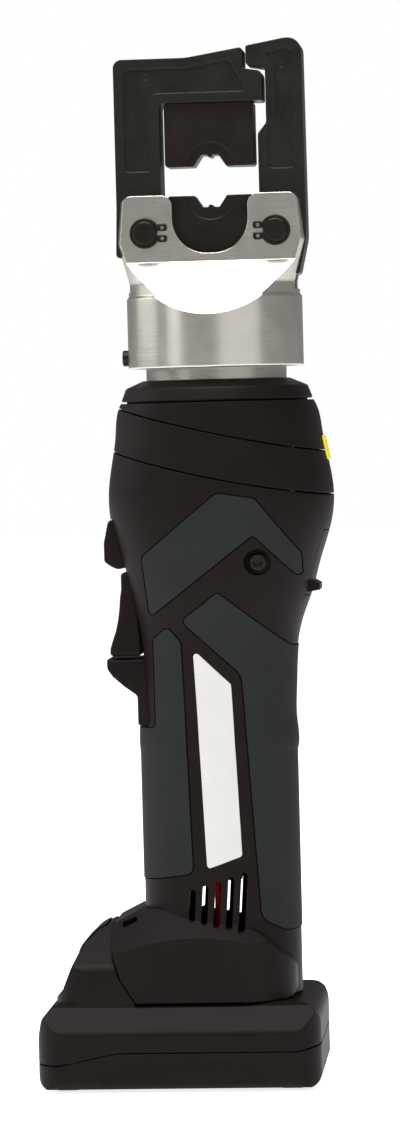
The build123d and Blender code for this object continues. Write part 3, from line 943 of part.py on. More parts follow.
def battery_shells():
    lower = (pack_form(0) - pack_form(-PACK_WALL)) & pack_below(-SEAM / 2)
    feet = []
    for x in (-FOOT_PAD_X, FOOT_PAD_X):
        x0, x1 = x - FOOT_PAD_LONG / 2, x + FOOT_PAD_LONG / 2
        half, top = FOOT_PAD_HALF, PACK_LOW_Z + FOOT_PAD_SUNK
        foot = block(x0, x1, -half, half, GROUND_Z, top)
        feet.append(fillet(foot.edges().filter_by(Axis.Z), FOOT_PAD_CORNER))
        lower = lower - block(x0 - SEAT, x1 + SEAT, -half - SEAT, half + SEAT, 0, top)
    panel_v = PACK_HALF_Y - PANEL_DEEP
    lower = lower - (slab(PANEL, FAR, PANEL_RADII) - block(-FAR, FAR, -panel_v, panel_v, 0, FAR))
    save("battery_lower_shell", [lower], PACK)
    save("battery_feet", feet, PACK)
    inner = pack_form(-PACK_WALL) + (hump_form(-PACK_WALL) & layer(PACK_TOP_Z - HUMP_OPEN, SKY))
    walls = (pack_form(0) + hump_form(0)) - inner
    head = block(HEAD_X0, HEAD_X1, -HEAD_HALF, HEAD_HALF, HEAD_LOW_Z, HEAD_TOP_Z)
    head = head + block(HEAD_X0, HEAD_X1, AIR - SLOT_HALF, SLOT_HALF - AIR, PACK_TOP_Z - MERGE, HEAD_LOW_Z)
    for side in (-1, 1):
        middle, half = side * BLADE_V, BLADE_THICK / 2 + AIR
        low_z = BLADE_LOW_Z - BLADE_ROOM
        head = head - block(BLADE_X0 - MARGIN, FAR, middle - half, middle + half, low_z, SKY)
    upper = (walls + head) - pack_below(SEAM / 2)
    gap = AIR + RUN
    half = BUTTON_HALF + gap
    window = block(BUTTON_X0 - gap, BUTTON_X1 + gap, -half, half, BUTTON_WINDOW_Z, SKY)
    save("battery_upper_shell", [upper - window], PACK)
    skin = hump_form(BUTTON_PROUD) - hump_form(-BUTTON_DEEP)
    button = skin & block(BUTTON_X0, BUTTON_X1, -BUTTON_HALF, BUTTON_HALF, BUTTON_LOW_Z, SKY)
    save("battery_button", [button], PACK)


def battery_inside():
    cells = []
    first = -CELL_PITCH * (CELLS - 1) / 2
    for i in range(CELLS):
        cells.append(cross_rod(CELL_R, first + CELL_PITCH * i, CELL_Z, -CELL_LONG / 2, CELL_LONG / 2))
    save("battery_cells", cells, PACK)
    reach = -first + STRAP_LAP
    end = CELL_LONG / 2 + RUN
    strap = block(-reach, reach, -end - STRAP_THICK, -end, CELL_Z - STRAP_TALL / 2, CELL_Z + STRAP_TALL / 2)
    save("cell_straps", both_sides(strap), PACK)
    low = CELL_Z + CELL_R + AIR
    board = block(-BOARD_LONG / 2, BOARD_LONG / 2, -BOARD_WIDE / 2, BOARD_WIDE / 2, low, low + BOARD_THICK)
    save("battery_board", [board], PACK)


shells()
crown()
pads()
lamp()
trigger()
finger_rest()
retract_lever()
pivot_pins()
screws()
hydraulics()
ram()
gear_stage()
motor()
electrics()
wires()
clevis()
pins()
hinged_jaw()
latch_jaw()
dies()
battery_shells()
battery_inside()
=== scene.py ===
# %% [markdown]
# # A battery hydraulic crimping tool
# The tool stands on its battery, with the jaws at the top and the trigger on the left.
# The CAD model comes in first as a fixed frame, in metres, and everything else is built around it.
# Its box is kept straight away.

# %% Load the CAD frame
import math

import bpy
from mathutils import Matrix, Vector


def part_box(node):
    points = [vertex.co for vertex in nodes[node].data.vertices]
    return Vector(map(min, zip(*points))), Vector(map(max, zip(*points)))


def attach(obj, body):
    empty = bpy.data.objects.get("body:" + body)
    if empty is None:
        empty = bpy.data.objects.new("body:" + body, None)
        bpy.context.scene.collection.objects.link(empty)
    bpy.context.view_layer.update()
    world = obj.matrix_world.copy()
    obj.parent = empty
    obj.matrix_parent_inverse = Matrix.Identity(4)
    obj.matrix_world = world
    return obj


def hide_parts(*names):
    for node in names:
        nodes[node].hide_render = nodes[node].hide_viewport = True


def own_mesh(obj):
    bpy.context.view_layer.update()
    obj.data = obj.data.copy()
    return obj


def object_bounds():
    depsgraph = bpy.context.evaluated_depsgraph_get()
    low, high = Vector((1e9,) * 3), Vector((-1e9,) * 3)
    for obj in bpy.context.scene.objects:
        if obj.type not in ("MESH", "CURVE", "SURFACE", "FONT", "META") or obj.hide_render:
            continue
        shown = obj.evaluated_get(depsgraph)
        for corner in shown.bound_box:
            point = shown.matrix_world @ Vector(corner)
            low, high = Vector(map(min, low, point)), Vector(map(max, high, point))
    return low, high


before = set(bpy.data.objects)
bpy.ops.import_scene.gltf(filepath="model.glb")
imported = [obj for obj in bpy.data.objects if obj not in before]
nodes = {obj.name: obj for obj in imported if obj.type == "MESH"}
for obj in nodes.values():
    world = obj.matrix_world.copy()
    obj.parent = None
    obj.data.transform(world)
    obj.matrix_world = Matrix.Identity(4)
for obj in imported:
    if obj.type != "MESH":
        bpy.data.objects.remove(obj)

MM = 0.001
cad_low, cad_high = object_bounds()
print("CAD nodes:", len(nodes), "box in mm:", [round((b - a) / MM, 1) for a, b in zip(cad_low, cad_high)])

# %% [markdown]
# ## Camera
# The photograph was taken from about a metre and a half with a long lens, a little above the grip.
# The tool leans a hair in the picture because the camera was tilted,
# so the camera gets that roll and the tool stays upright.
# Three turns one after the other are easier to follow as matrices than as one set of angles.

# %% Camera
CAMERA_PLACE = Vector((0.1364, -1.4904, 0.2581))
CAMERA_YAW, CAMERA_PITCH, CAMERA_ROLL = 5.01, -2.53, -1.49
LENS_LENGTH, SENSOR_WIDTH = 125.3, 36.0

camera_data = bpy.data.cameras.new("camera")
camera_data.lens = LENS_LENGTH
camera_data.sensor_width = SENSOR_WIDTH
camera = bpy.data.objects.new("camera", camera_data)
bpy.context.scene.collection.objects.link(camera)
aim = Matrix.Rotation(math.radians(CAMERA_YAW), 4, "Z")
tip = Matrix.Rotation(math.radians(90 + CAMERA_PITCH), 4, "X")
roll = Matrix.Rotation(math.radians(CAMERA_ROLL), 4, "Z")
camera.matrix_world = Matrix.Translation(CAMERA_PLACE) @ aim @ tip @ roll
bpy.context.scene.camera = camera
print("Camera at", [round(c, 3) for c in CAMERA_PLACE], "with a", LENS_LENGTH, "mm lens")

# %% [markdown]
# ## Colours and nodes
# Every finish below is a small net of shader nodes.
# Three helpers keep those nets short.
# One turns a screen colour into the linear values that Blender works with,
# one adds a node, sets its values and links its inputs,
# and one starts a material with its shader and the coordinates that its patterns read.

# %% Colour and node helpers
def colour(hex_code):
    """Linear RGBA from an sRGB hex value, by the sRGB standard's own formula."""
    values = [int(hex_code[i:i + 2], 16) / 255 for i in (1, 3, 5)]
    linear = [v / 12.92 if v <= 0.04045 else ((v + 0.055) / 1.055) ** 2.4 for v in values]
    return (*linear, 1.0)


def add_node(tree, kind, inputs=(), **settings):
    """A new node with its settings, and its inputs set to values or linked to other nodes' outputs."""
    node = tree.nodes.new(kind)
    for name, value in settings.items():
        setattr(node, name, value)
    for socket, value in dict(inputs).items():
        if isinstance(value, bpy.types.NodeSocket):
            tree.links.new(value, node.inputs[socket])
        else:
            node.inputs[socket].default_value = value
    return node


def new_finish(name, **values):
    """A material with one Principled shader, whose even values are set on its own sockets."""
    finish = bpy.data.materials.new(name)
    finish.use_nodes = True
    shader = finish.node_tree.nodes["Principled BSDF"]
    for socket, value in values.items():
        shader.inputs[socket.replace("_", " ")].default_value = value
    place = add_node(finish.node_tree, "ShaderNodeTexCoord").outputs["Object"]
    return finish.node_tree, shader, place


print("Black as the shader sees it:", [round(v, 4) for v in colour("#201a18")[:3]])

# %% [markdown]
# ## Mouldings
# The housing is ABS from a mould with a fine spark-eroded texture,
# and the grips are a softer elastomer moulded over it.
# Both are almost black, so what the eye reads is the gloss: a little uneven, broken by the grain,
# and brighter along edges.
# A picture of the grain would need a UV map, and noise in object coordinates needs none,
# so a noise of the grain's size bumps the surface.
# A Bevel node rounds the shading of the CAD's crisp edges.
# The real grain is about 0.1 mm, too fine for the picture, so it is drawn about four times as coarse.

# %% Moulded plastics and rubber
def per_mm(size):
    """Texture scale that gives features of that size in millimetres."""
    return 1 / (size * MM)


# Blender's noise seldom leaves this range, so the gloss is spread between its ends.
NOISE_LOW, NOISE_HIGH = 0.3, 0.7
CLOUD_SIZE = 18
# A spark-eroded skin scatters most of what it reflects, so its gleam is far below the usual 0.5.
MOULDED_GLEAM = 0.08


def moulding(name, dark, light, grain_size, gloss, edge, grain_height=0.03):
    """Two close shades in soft clouds, gloss between two values, moulded grain and rounded edges."""
    tree, shader, place = new_finish(name, Specular_IOR_Level=MOULDED_GLEAM)
    clouds = {"Vector": place, "Scale": per_mm(CLOUD_SIZE), "Detail": 5.0}
    cloud = add_node(tree, "ShaderNodeTexNoise", clouds)
    shades = {"Factor": cloud.outputs[0], "A": colour(dark), "B": colour(light)}
    shade = add_node(tree, "ShaderNodeMix", shades, data_type="RGBA")
    pits = {"Vector": place, "Scale": per_mm(grain_size), "Detail": 3.0}
    grain = add_node(tree, "ShaderNodeTexNoise", pits).outputs[0]
    shine = {"Value": grain, "From Min": NOISE_LOW, "From Max": NOISE_HIGH,
             "To Min": gloss[0], "To Max": gloss[1]}
    rough = add_node(tree, "ShaderNodeMapRange", shine)
    rounded = add_node(tree, "ShaderNodeBevel", {"Radius": edge * MM}, samples=6)
    bump = add_node(tree, "ShaderNodeBump", {"Height": grain, "Normal": rounded.outputs[0],
                                             "Strength": 0.5, "Distance": grain_height * MM})
    tree.links.new(shade.outputs["Result"], shader.inputs["Base Color"])
    tree.links.new(rough.outputs[0], shader.inputs["Roughness"])
    tree.links.new(bump.outputs[0], shader.inputs["Normal"])
    return bpy.data.materials[name]


finishes = {
    # Moulded shells: a warm black, and a fine grain that breaks the shine into a soft sheen.
    "housing_plastic": moulding("spark_textured_abs", "#0f0807", "#16100e", 0.4, (0.42, 0.54), 0.5),
    # Grip overmould: a cool dark grey that stays matt, so it reads as softer than the shell.
    "soft_grip": moulding("matte_grip_elastomer", "#1b1e1d", "#232625", 0.5, (0.58, 0.72), 0.35, 0.04),
    # Seal and bladder: dull black rubber with hardly any highlight.
    "oil_rubber": moulding("nitrile_rubber", "#171717", "#202020", 0.8, (0.55, 0.70), 0.4),
    # Wires: smooth, slightly shiny plastic, so that a thin line of light runs along each.
    "red_insulation": moulding("red_pvc_insulation", "#a01414", "#b81c18", 0.8, (0.35, 0.45), 0.2),
    "black_insulation": moulding("black_pvc_insulation", "#141414", "#1d1d1d", 0.8, (0.35, 0.45), 0.2),
    # Cells: tight shrunk film, blue and glossy.
    "cell_sleeve": moulding("shrink_film_sleeve", "#23506e", "#2a5c7c", 1.5, (0.25, 0.35), 0.3),
    # Boards: green lacquer over glass cloth, glossy and a little uneven.
    "board_laminate": moulding("green_circuit_laminate", "#12402c", "#185238", 0.6, (0.30, 0.42), 0.2),
}
print("Mouldings:", [m.name for m in finishes.values()])

# %% [markdown]
# ## Metals
# The swivelling head is steel turned on a lathe and then milled,
# so its lines run round it and it shines in bands.
# The dies, pins and screws are blackened in hot oxide: a dark skin with a dull gleam and lighter worn edges.
# The jaws are forged and then phosphated, which is duller still.
# An anisotropic shader could draw the bands too, but it would show no marks close up.
# Noise stretched along the lines gives the tool marks,
# and it drives roughness as well as height, as real marks do.
# Edges are rubbed bright where the bevelled normal turns away from the face's own.

# %% Metals
STAIN_SIZE = 9
# How far the two normals agree where the rubbing starts, and where it is complete.
RUB_STARTS, RUB_COMPLETE = 0.99, 0.80


def machined(name, dark, light, stretch, line, gloss, edge, height=0.01, worn=None):
    """A metal with tool marks as lines of that width in millimetres, rubbed bright at its edges."""
    tree, shader, place = new_finish(name, Metallic=1.0)
    lie = add_node(tree, "ShaderNodeMapping", {"Vector": place, "Scale": stretch})
    lines = {"Vector": lie.outputs[0], "Scale": per_mm(line), "Detail": 4.0}
    marks = add_node(tree, "ShaderNodeTexNoise", lines).outputs[0]
    stain = {"Vector": place, "Scale": per_mm(STAIN_SIZE), "Detail": 4.0}
    cloud = add_node(tree, "ShaderNodeTexNoise", stain).outputs[0]
    blend = add_node(tree, "ShaderNodeMix", {"Factor": 0.5, "A": marks, "B": cloud}).outputs[0]
    shades = {"Factor": blend, "A": colour(dark), "B": colour(light)}
    shade = add_node(tree, "ShaderNodeMix", shades, data_type="RGBA").outputs["Result"]
    shine = {"Value": blend, "From Min": NOISE_LOW, "From Max": NOISE_HIGH,
             "To Min": gloss[0], "To Max": gloss[1]}
    rough = add_node(tree, "ShaderNodeMapRange", shine)
    rounded = add_node(tree, "ShaderNodeBevel", {"Radius": edge * MM}, samples=6)
    bump = add_node(tree, "ShaderNodeBump", {"Height": marks, "Normal": rounded.outputs[0],
                                             "Strength": 0.4, "Distance": height * MM})
    face = add_node(tree, "ShaderNodeNewGeometry").outputs["Normal"]
    turn = add_node(tree, "ShaderNodeVectorMath", {0: rounded.outputs[0], 1: face}, operation="DOT_PRODUCT")
    bent = {"Value": turn.outputs["Value"], "From Min": RUB_STARTS, "From Max": RUB_COMPLETE}
    rubbed = add_node(tree, "ShaderNodeMapRange", bent).outputs[0]
    wear = {"Factor": rubbed, "A": shade, "B": colour(worn or light)}
    shade = add_node(tree, "ShaderNodeMix", wear, data_type="RGBA").outputs["Result"]
    tree.links.new(shade, shader.inputs["Base Color"])
    tree.links.new(rough.outputs[0], shader.inputs["Roughness"])
    tree.links.new(bump.outputs[0], shader.inputs["Normal"])
    return bpy.data.materials[name]


# Marks run round the tool where the pattern is stretched fifty times across its axis.
AROUND = (0.02, 0.02, 1.0)
EVEN = (1.0, 1.0, 1.0)
finishes.update({
    # Turned head: pale steel that shines in upright bands, drawn fine by the lathe's lines.
    "machined_steel": machined("turned_steel", "#bab5ad", "#c8c3bb", AROUND, 0.3, (0.22, 0.29), 0.5, 0.003),
    # Dies, pins and screws: hot black oxide, brownish and a little glossy, rubbed lighter at edges.
    "black_steel": machined("black_oxide_steel", "#241f1d", "#322c28", EVEN, 0.7, (0.36, 0.52), 0.6, 0.03,
                            "#39322d"),
    # Jaws: forged and phosphated, a greener, duller black than the oxide.
    "forged_steel": machined("phosphated_forging", "#232321", "#31312d", EVEN, 0.9, (0.40, 0.56), 0.6, 0.05,
                             "#363631"),
    # Gears and spring: ground grey steel with a silky shine.
    "gear_steel": machined("ground_gear_steel", "#8d8b88", "#a8a5a1", EVEN, 0.5, (0.30, 0.42), 0.2),
    # Pump and gear case: cast aluminium, light and matt with a coarse skin.
    "pump_alloy": machined("cast_aluminium", "#9b9b99", "#b7b7b4", EVEN, 1.2, (0.45, 0.60), 0.4, 0.05),
    # Contacts: stamped brass, warm and bright.
    "contact_brass": machined("stamped_brass", "#b08a3c", "#c59d4a", EVEN, 0.6, (0.25, 0.40), 0.2),
})
print("Metals:", [finishes[s].name for s in ("machined_steel", "black_steel", "gear_steel", "pump_alloy")])

# %% [markdown]
# ## Hydraulic cylinder
# Only the cylinder's neck is ground, where the head swivels on it.
# The barrel inside the housing is left black, partly as a phosphate coat and partly as painted shade for the
# housing's dark inside, which keeps bright steel from showing through the housing's seams.
# Two pieces could carry the two finishes, but it is one piece of steel, so one finish changes at a height.
# The neck's lower end comes from the collar's box, so the change of finish stays hidden under the collar.

# %% Ground neck, black barrel
# Ground steel above, silky and pale, and below a dull black that is partly phosphate coat and partly painted
# shade for the housing's inside.
barrel = machined("ground_and_phosphated_steel", "#8f8a83", "#a39e96", AROUND, 0.3, (0.24, 0.36), 0.4, 0.006)
barrel_tree = barrel.node_tree
barrel_shader = barrel_tree.nodes["Principled BSDF"]
NECK_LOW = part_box("front_collar")[0].z
COAT_AND_SHADE_FADE = 1.0
spot = barrel_tree.nodes["Texture Coordinate"].outputs["Object"]
height = add_node(barrel_tree, "ShaderNodeSeparateXYZ", {"Vector": spot}).outputs["Z"]
ground = add_node(barrel_tree, "ShaderNodeMapRange", {"Value": height, "From Min": NECK_LOW,
                                                      "From Max": NECK_LOW + COAT_AND_SHADE_FADE * MM})
steel = barrel_shader.inputs["Base Color"].links[0].from_socket
# Near black below the collar: partly the phosphate coat, partly painted shade for the inside of the housing.
phosphate_and_painted_shade = {"Factor": ground.outputs[0], "A": colour("#1b1817"), "B": steel}
barrel_coat_and_shade = add_node(barrel_tree, "ShaderNodeMix", phosphate_and_painted_shade, data_type="RGBA")
barrel_tree.links.new(barrel_coat_and_shade.outputs["Result"], barrel_shader.inputs["Base Color"])
print("Barrel black below z =", round(NECK_LOW / MM, 1), "mm")

# %% [markdown]
# ## Films and the lens
# The label plate and the marker are plain polyester films, satin on top.
# A flat colour would do from afar, and a faint orange peel in the gloss makes them look like film close up.
# The lamp's lens is clear polycarbonate over a white diode, so it lets light in and spreads it.

# %% Films and lens
FADE_SIZE, PEEL_SIZE = 12, 1.2


def film(name, dark, light):
    """A smooth plain film: nearly one colour, with a faint orange peel in its gloss."""
    tree, shader, place = new_finish(name, Specular_IOR_Level=0.4)
    fade = {"Vector": place, "Scale": per_mm(FADE_SIZE), "Detail": 3.0}
    cloud = add_node(tree, "ShaderNodeTexNoise", fade)
    shades = {"Factor": cloud.outputs[0], "A": colour(dark), "B": colour(light)}
    shade = add_node(tree, "ShaderNodeMix", shades, data_type="RGBA")
    dimples = {"Vector": place, "Scale": per_mm(PEEL_SIZE), "Detail": 2.0}
    peel = add_node(tree, "ShaderNodeTexNoise", dimples).outputs[0]
    rough = add_node(tree, "ShaderNodeMapRange", {"Value": peel, "To Min": 0.28, "To Max": 0.44})
    bump = add_node(tree, "ShaderNodeBump", {"Height": peel, "Strength": 0.3, "Distance": 0.01 * MM})
    tree.links.new(shade.outputs["Result"], shader.inputs["Base Color"])
    tree.links.new(rough.outputs[0], shader.inputs["Roughness"])
    tree.links.new(bump.outputs[0], shader.inputs["Normal"])
    return bpy.data.materials[name]


# Label plate: an even pale grey with a satin gleam.
finishes["label_film"] = film("white_polyester_film", "#b4b3b0", "#bfbebb")
# Marker: a strong yellow under the same satin.
finishes["marker_film"] = film("yellow_polyester_film", "#d8c61c", "#e6d62c")
# Lens: clear and smooth, so that the hood's dark shows round its pale middle.
finishes["clear_lens"] = film("clear_polycarbonate", "#cfd6d8", "#e6ecee")
lens_shader = finishes["clear_lens"].node_tree.nodes["Principled BSDF"]
lens_shader.inputs["Transmission Weight"].default_value = 0.6
lens_shader.inputs["IOR"].default_value = 1.58
print("Films and lens:", [finishes[s].name for s in ("label_film", "marker_film", "clear_lens")])

# %% [markdown]
# ## Finishes on the CAD pieces
# Each CAD node comes with a material slot named in model.glb, and takes the finish made for that slot.
# The cylinder and the two jaws share a slot with other steel, so they get their own finish by name.

# %% Finishes on the CAD pieces
for node in nodes.values():
    slot = node.data.materials[0].name
    node.data.materials[0] = finishes[slot]
nodes["cylinder"].data.materials[0] = barrel
for name in ("hinged_jaw", "latch_jaw"):
    nodes[name].data.materials[0] = finishes["forged_steel"]
print("Finished nodes:", len(nodes), "with", len(finishes), "finishes")

# %% [markdown]
# ## Broken edges on the CAD pieces
# A toolmaker never leaves an edge knife-sharp: steel is chamfered or tumbled,
# and a mould's corners leave a small radius.
# The CAD edges are exact and sharp, so the pieces where it shows get that radius from modifiers,
# and their own meshes stay as they are.
# Weld joins the loose triangles, a planar Decimate turns flat areas back into single faces,
# and Bevel rounds what is sharp.
# The widths are real sizes: nearly a millimetre on the forged jaws,
# and about a third of one along a moulding's seam.

# %% Edges of steel and mouldings
WELD_REACH, FLAT_ANGLE, SHARP_ANGLE, EDGE_SEGMENTS = 0.003, 0.6, 32, 3


def break_edges(node, width):
    """Round a CAD node's sharp edges to that width in millimetres, with modifiers alone."""
    weld = node.modifiers.new("join_triangles", "WELD")
    weld.merge_threshold = WELD_REACH * MM
    flat = node.modifiers.new("flat_faces", "DECIMATE")
    flat.decimate_type = "DISSOLVE"
    flat.angle_limit = math.radians(FLAT_ANGLE)
    edge = node.modifiers.new("broken_edge", "BEVEL")
    edge.width = width * MM
    edge.segments = EDGE_SEGMENTS
    edge.limit_method = "ANGLE"
    edge.angle_limit = math.radians(SHARP_ANGLE)
    shading = node.modifiers.new("even_shading", "WEIGHTED_NORMAL")
    shading.keep_sharp = False


EDGE_WIDTHS = {
    0.8: ("hinged_jaw", "latch_jaw"),
    0.5: ("upper_die", "lower_die", "hinge_pins", "lock_screw", "battery_feet", "battery_button"),
    0.3: ("clevis", "retaining_rings", "front_collar", "nose_cap", "slanted_band", "rear_marker",
          "retract_lever"),
}
for width, names in EDGE_WIDTHS.items():
    for name in names:
        break_edges(nodes[name], width)
rounded = [name for names in EDGE_WIDTHS.values() for name in names]
print("Edges broken on", len(rounded), "nodes")

# %% [markdown]
# ## Small pieces shaped by hand
# The trigger, the finger rest below it and the lamp's hood are mouldings that a hand touches,
# so nothing on them is sharp. The CAD solids have the right outline and plain edges.
# Each is modelled again here from a cube: one end face is drawn out from station to station,
# which gives the outline, and then every sharp edge is rounded, which gives the soft moulded look.
# They could also be cut from blocks, but drawn-out faces stay in clean rings, and those round evenly.
# A few helpers hold the steps that they share: a clean start, picking faces, drawing out and finishing.

# %% Modelling helpers
import bmesh

X, Z = 0, 2
AXIS_X = (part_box("cylinder")[0].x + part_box("cylinder")[1].x) / 2
# A face looks along a direction when its normal has at least this share of it.
FACING = 0.9
SMOOTH_ANGLE = 40


def start_piece(name, add, **settings):
    """Add one primitive with nothing else selected, and put its place into its mesh."""
    bpy.ops.object.select_all(action="DESELECT")
    add(**settings)
    piece = bpy.context.object
    piece.name = name
    bpy.ops.object.transform_apply(location=True, rotation=True, scale=True)
    return piece


def start_block(name, low, high):
    """A cube stretched between two corners, in metres."""
    middle = [(a + b) / 2 for a, b in zip(low, high)]
    size = [b - a for a, b in zip(low, high)]
    return start_piece(name, bpy.ops.mesh.primitive_cube_add, size=1, location=middle, scale=size)


def pick_faces(piece, test):
    """Go to edit mode with only those faces selected whose middle and normal pass the test."""
    bpy.ops.object.mode_set(mode="EDIT")
    bpy.ops.mesh.select_mode(type="FACE")
    bpy.ops.mesh.select_all(action="DESELECT")
    bpy.ops.object.mode_set(mode="OBJECT")
    for face in piece.data.polygons:
        face.select = test(face.center, face.normal)
    bpy.ops.object.mode_set(mode="EDIT")


def draw_out(piece, along, across, stations):
    """Extrude the picked face through stations: a place along one axis, and a low and high edge across it."""
    for place, low, high in stations:
        bpy.ops.mesh.extrude_region_move()
        points = [v.co.copy() for v in bmesh.from_edit_mesh(piece.data).verts if v.select]
        middle = sum(points, Vector()) / len(points)
        reach = max(p[across] for p in points) - min(p[across] for p in points)
        grow, shift = [1.0, 1.0, 1.0], [0.0, 0.0, 0.0]
        grow[across] = (high - low) / reach
        shift[along] = place - middle[along]
        shift[across] = (low + high) / 2 - middle[across]
        bpy.ops.transform.resize(value=grow, center_override=middle)
        bpy.ops.transform.translate(value=shift)


def round_edges(width, segments=4, angle=35):
    """Round every edge that is sharper than the angle."""
    bpy.ops.mesh.select_mode(type="EDGE")
    bpy.ops.mesh.select_all(action="DESELECT")
    bpy.ops.mesh.edges_select_sharp(sharpness=math.radians(angle))
    bpy.ops.mesh.bevel(offset=width * MM, segments=segments)


def finish_piece(piece, node, body, slot):
    """Shade the piece smooth, give it its finish, and let it stand for its CAD node."""
    bpy.ops.object.mode_set(mode="OBJECT")
    bpy.ops.object.shade_smooth_by_angle(angle=math.radians(SMOOTH_ANGLE))
    piece.data.materials.append(finishes[slot])
    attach(piece, body)
    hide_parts(node)
    print(piece.name, "has", len(piece.data.polygons), "faces, for the node", node)


print("Tool axis at x =", round(AXIS_X / MM, 2), "mm")

# %% [markdown]
# ### Trigger
# The trigger hangs from its pin and is hollowed for one finger,
# with a lip at the bottom that keeps the finger on it.
# Its head is a cube at the pin, and the cube's lower face is drawn down through the hollow to the lip.

# %% Trigger
low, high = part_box("trigger")
TRIGGER_HEAD, HEAD_FRONT, TRIGGER_EDGE = 6.3, 4.8, 1.4
# Each station: how far down, then how far the front and the back are set in from the node's box.
TRIGGER_STATIONS = (
    (9.3, 4.3, 2.9), (13.9, 3.9, 2.9), (18.0, 3.3, 2.9), (22.0, 2.4, 2.9),
    (25.6, 1.1, 2.4), (28.6, 0.2, 2.4), (31.4, 0.0, 2.4),
)
head_corner = (low.x + HEAD_FRONT * MM, low.y, high.z - TRIGGER_HEAD * MM)
trigger = start_block("trigger_lever", head_corner, high)
pick_faces(trigger, lambda middle, normal: normal.z < -FACING)
draw_out(trigger, Z, X, [(high.z - drop * MM, low.x + front * MM, high.x - back * MM)
                         for drop, front, back in TRIGGER_STATIONS])
round_edges(TRIGGER_EDGE)
finish_piece(trigger, "trigger", "trigger", "housing_plastic")

# %% [markdown]
# ### Finger rest
# Under the trigger a small horn stops the hand from sliding down.
# A stem stands in the housing's slot, and the upper part of its front is drawn out forwards and a little up.

# %% Finger rest
low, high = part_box("finger_rest")
STEM_DEEP, STEM_TALL, HORN_ROOT, HORN_EDGE = 7.0, 11.2, 25.0, 1.0
# Each station: how far out, then the heights of the horn's underside and top.
REST_STATIONS = ((12.0, 14.8, 24.8), (16.2, 18.6, 24.9), (18.2, 21.4, 25.4))
stem_front = high.x - STEM_DEEP * MM
rest = start_block("finger_horn", (stem_front, low.y, low.z), (high.x, high.y, low.z + STEM_TALL * MM))
pick_faces(rest, lambda middle, normal: normal.z > FACING)
draw_out(rest, Z, X, [(low.z + HORN_ROOT * MM, stem_front, high.x)])
pick_faces(rest, lambda middle, normal: normal.x < -FACING and middle.z > low.z + STEM_TALL * MM)
draw_out(rest, X, Z, [(high.x - reach * MM, low.z + under * MM, low.z + over * MM)
                      for reach, under, over in REST_STATIONS])
round_edges(HORN_EDGE)
finish_piece(rest, "finger_rest", "housing", "housing_plastic")

# %% [markdown]
# ### Lamp hood
# Above the trigger a hood holds the work lamp, which looks forwards and a little up, towards the work.
# It is a small moulding of the housing's plastic.
# A thin block's front is drawn out station by station, so that the hood's upper face slopes.

# %% Lamp hood
low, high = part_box("lamp_hood")
HOOD_STATIONS = ((4.1, 0.0, 18.6), (6.3, 1.0, 18.6), (7.3, 1.7, 18.2), (9.1, 3.0, 9.9))
HOOD_BACK, HOOD_LIFT, HOOD_EDGE = 1.0, 0.6, 0.9
hood = start_block("lamp_cover", (high.x - HOOD_BACK * MM, low.y, low.z + HOOD_LIFT * MM), high)
pick_faces(hood, lambda middle, normal: normal.x < -FACING)
draw_out(hood, X, Z, [(high.x - reach * MM, low.z + under * MM, low.z + over * MM)
                      for reach, under, over in HOOD_STATIONS])
round_edges(HOOD_EDGE)
finish_piece(hood, "lamp_hood", "housing", "housing_plastic")

# %% [markdown]
# ### Lamp lens
# The lens is a clear disc pressed into the hood's slope, with a flat rim and a low dome.
# A short cylinder is laid on the slope, its front is inset for the rim,
# and the face inside is drawn out twice, smaller each time, which makes the dome.
# Part of a sphere could make the dome too, but this way rim and dome stay one mesh.

# %% Lamp lens
LENS_ACROSS, LENS_THICK, LENS_RIM, LENS_DOME, LENS_SIDES = 6.4, 2.0, 0.8, 0.35, 32
LENS_TILT = -77.8
DOME_RISE, DOME_TAPER = (0.7, 0.3), 0.72
lens_low, lens_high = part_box("lamp_lens")
lens = start_piece("lamp_window", bpy.ops.mesh.primitive_cylinder_add, vertices=LENS_SIDES,
                   radius=LENS_ACROSS / 2 * MM, depth=LENS_THICK * MM,
                   location=(lens_low + lens_high) / 2, rotation=(0, math.radians(LENS_TILT), 0))
look = Vector((math.sin(math.radians(LENS_TILT)), 0, math.cos(math.radians(LENS_TILT))))
pick_faces(lens, lambda middle, normal: normal.dot(look) > FACING)
bpy.ops.mesh.inset(thickness=LENS_RIM * MM)
for share in DOME_RISE:
    bpy.ops.mesh.extrude_region_move(TRANSFORM_OT_translate={"value": look * LENS_DOME * share * MM})
    picked = [v.co for v in bmesh.from_edit_mesh(lens.data).verts if v.select]
    centre = sum(picked, Vector()) / len(picked)
    bpy.ops.transform.resize(value=(DOME_TAPER, DOME_TAPER, DOME_TAPER), center_override=centre)
finish_piece(lens, "lamp_lens", "housing", "clear_lens")

# %% [markdown]
# ### Housing screws
# Six black screws hold the shells together: one sits deep in a recess on each side,
# and four go through from the far side.
# Their heads have a six-lobed socket. A cylinder's top face is inset, its ring is drawn in between the lobes,
# and the face is pushed down, which keeps fewer and cleaner faces than cutting the socket out would.
# One screw of each length is modelled and then copied to its places.

# %% Screw with a six-lobed socket
HEAD_R, HEAD_TALL, SHANK_R, SOCKET_R, SOCKET_DEEP = 3.1, 2.3, 1.9, 1.95, 1.4
SCREW_SIDES, SCREW_EDGE = 36, 0.25
# Between two lobes the ring is drawn in, the more the further from a lobe, in degrees.
LOBE_TURN, LOBE_DRAW = 60, {10: 0.94, 20: 0.84, 30: 0.78}
# Slack for picking: a share of a length, degrees round the ring, and millimetres from the axis.
NEAR, NEAR_TURN, NEAR_AXIS = 0.01, 1, 0.1


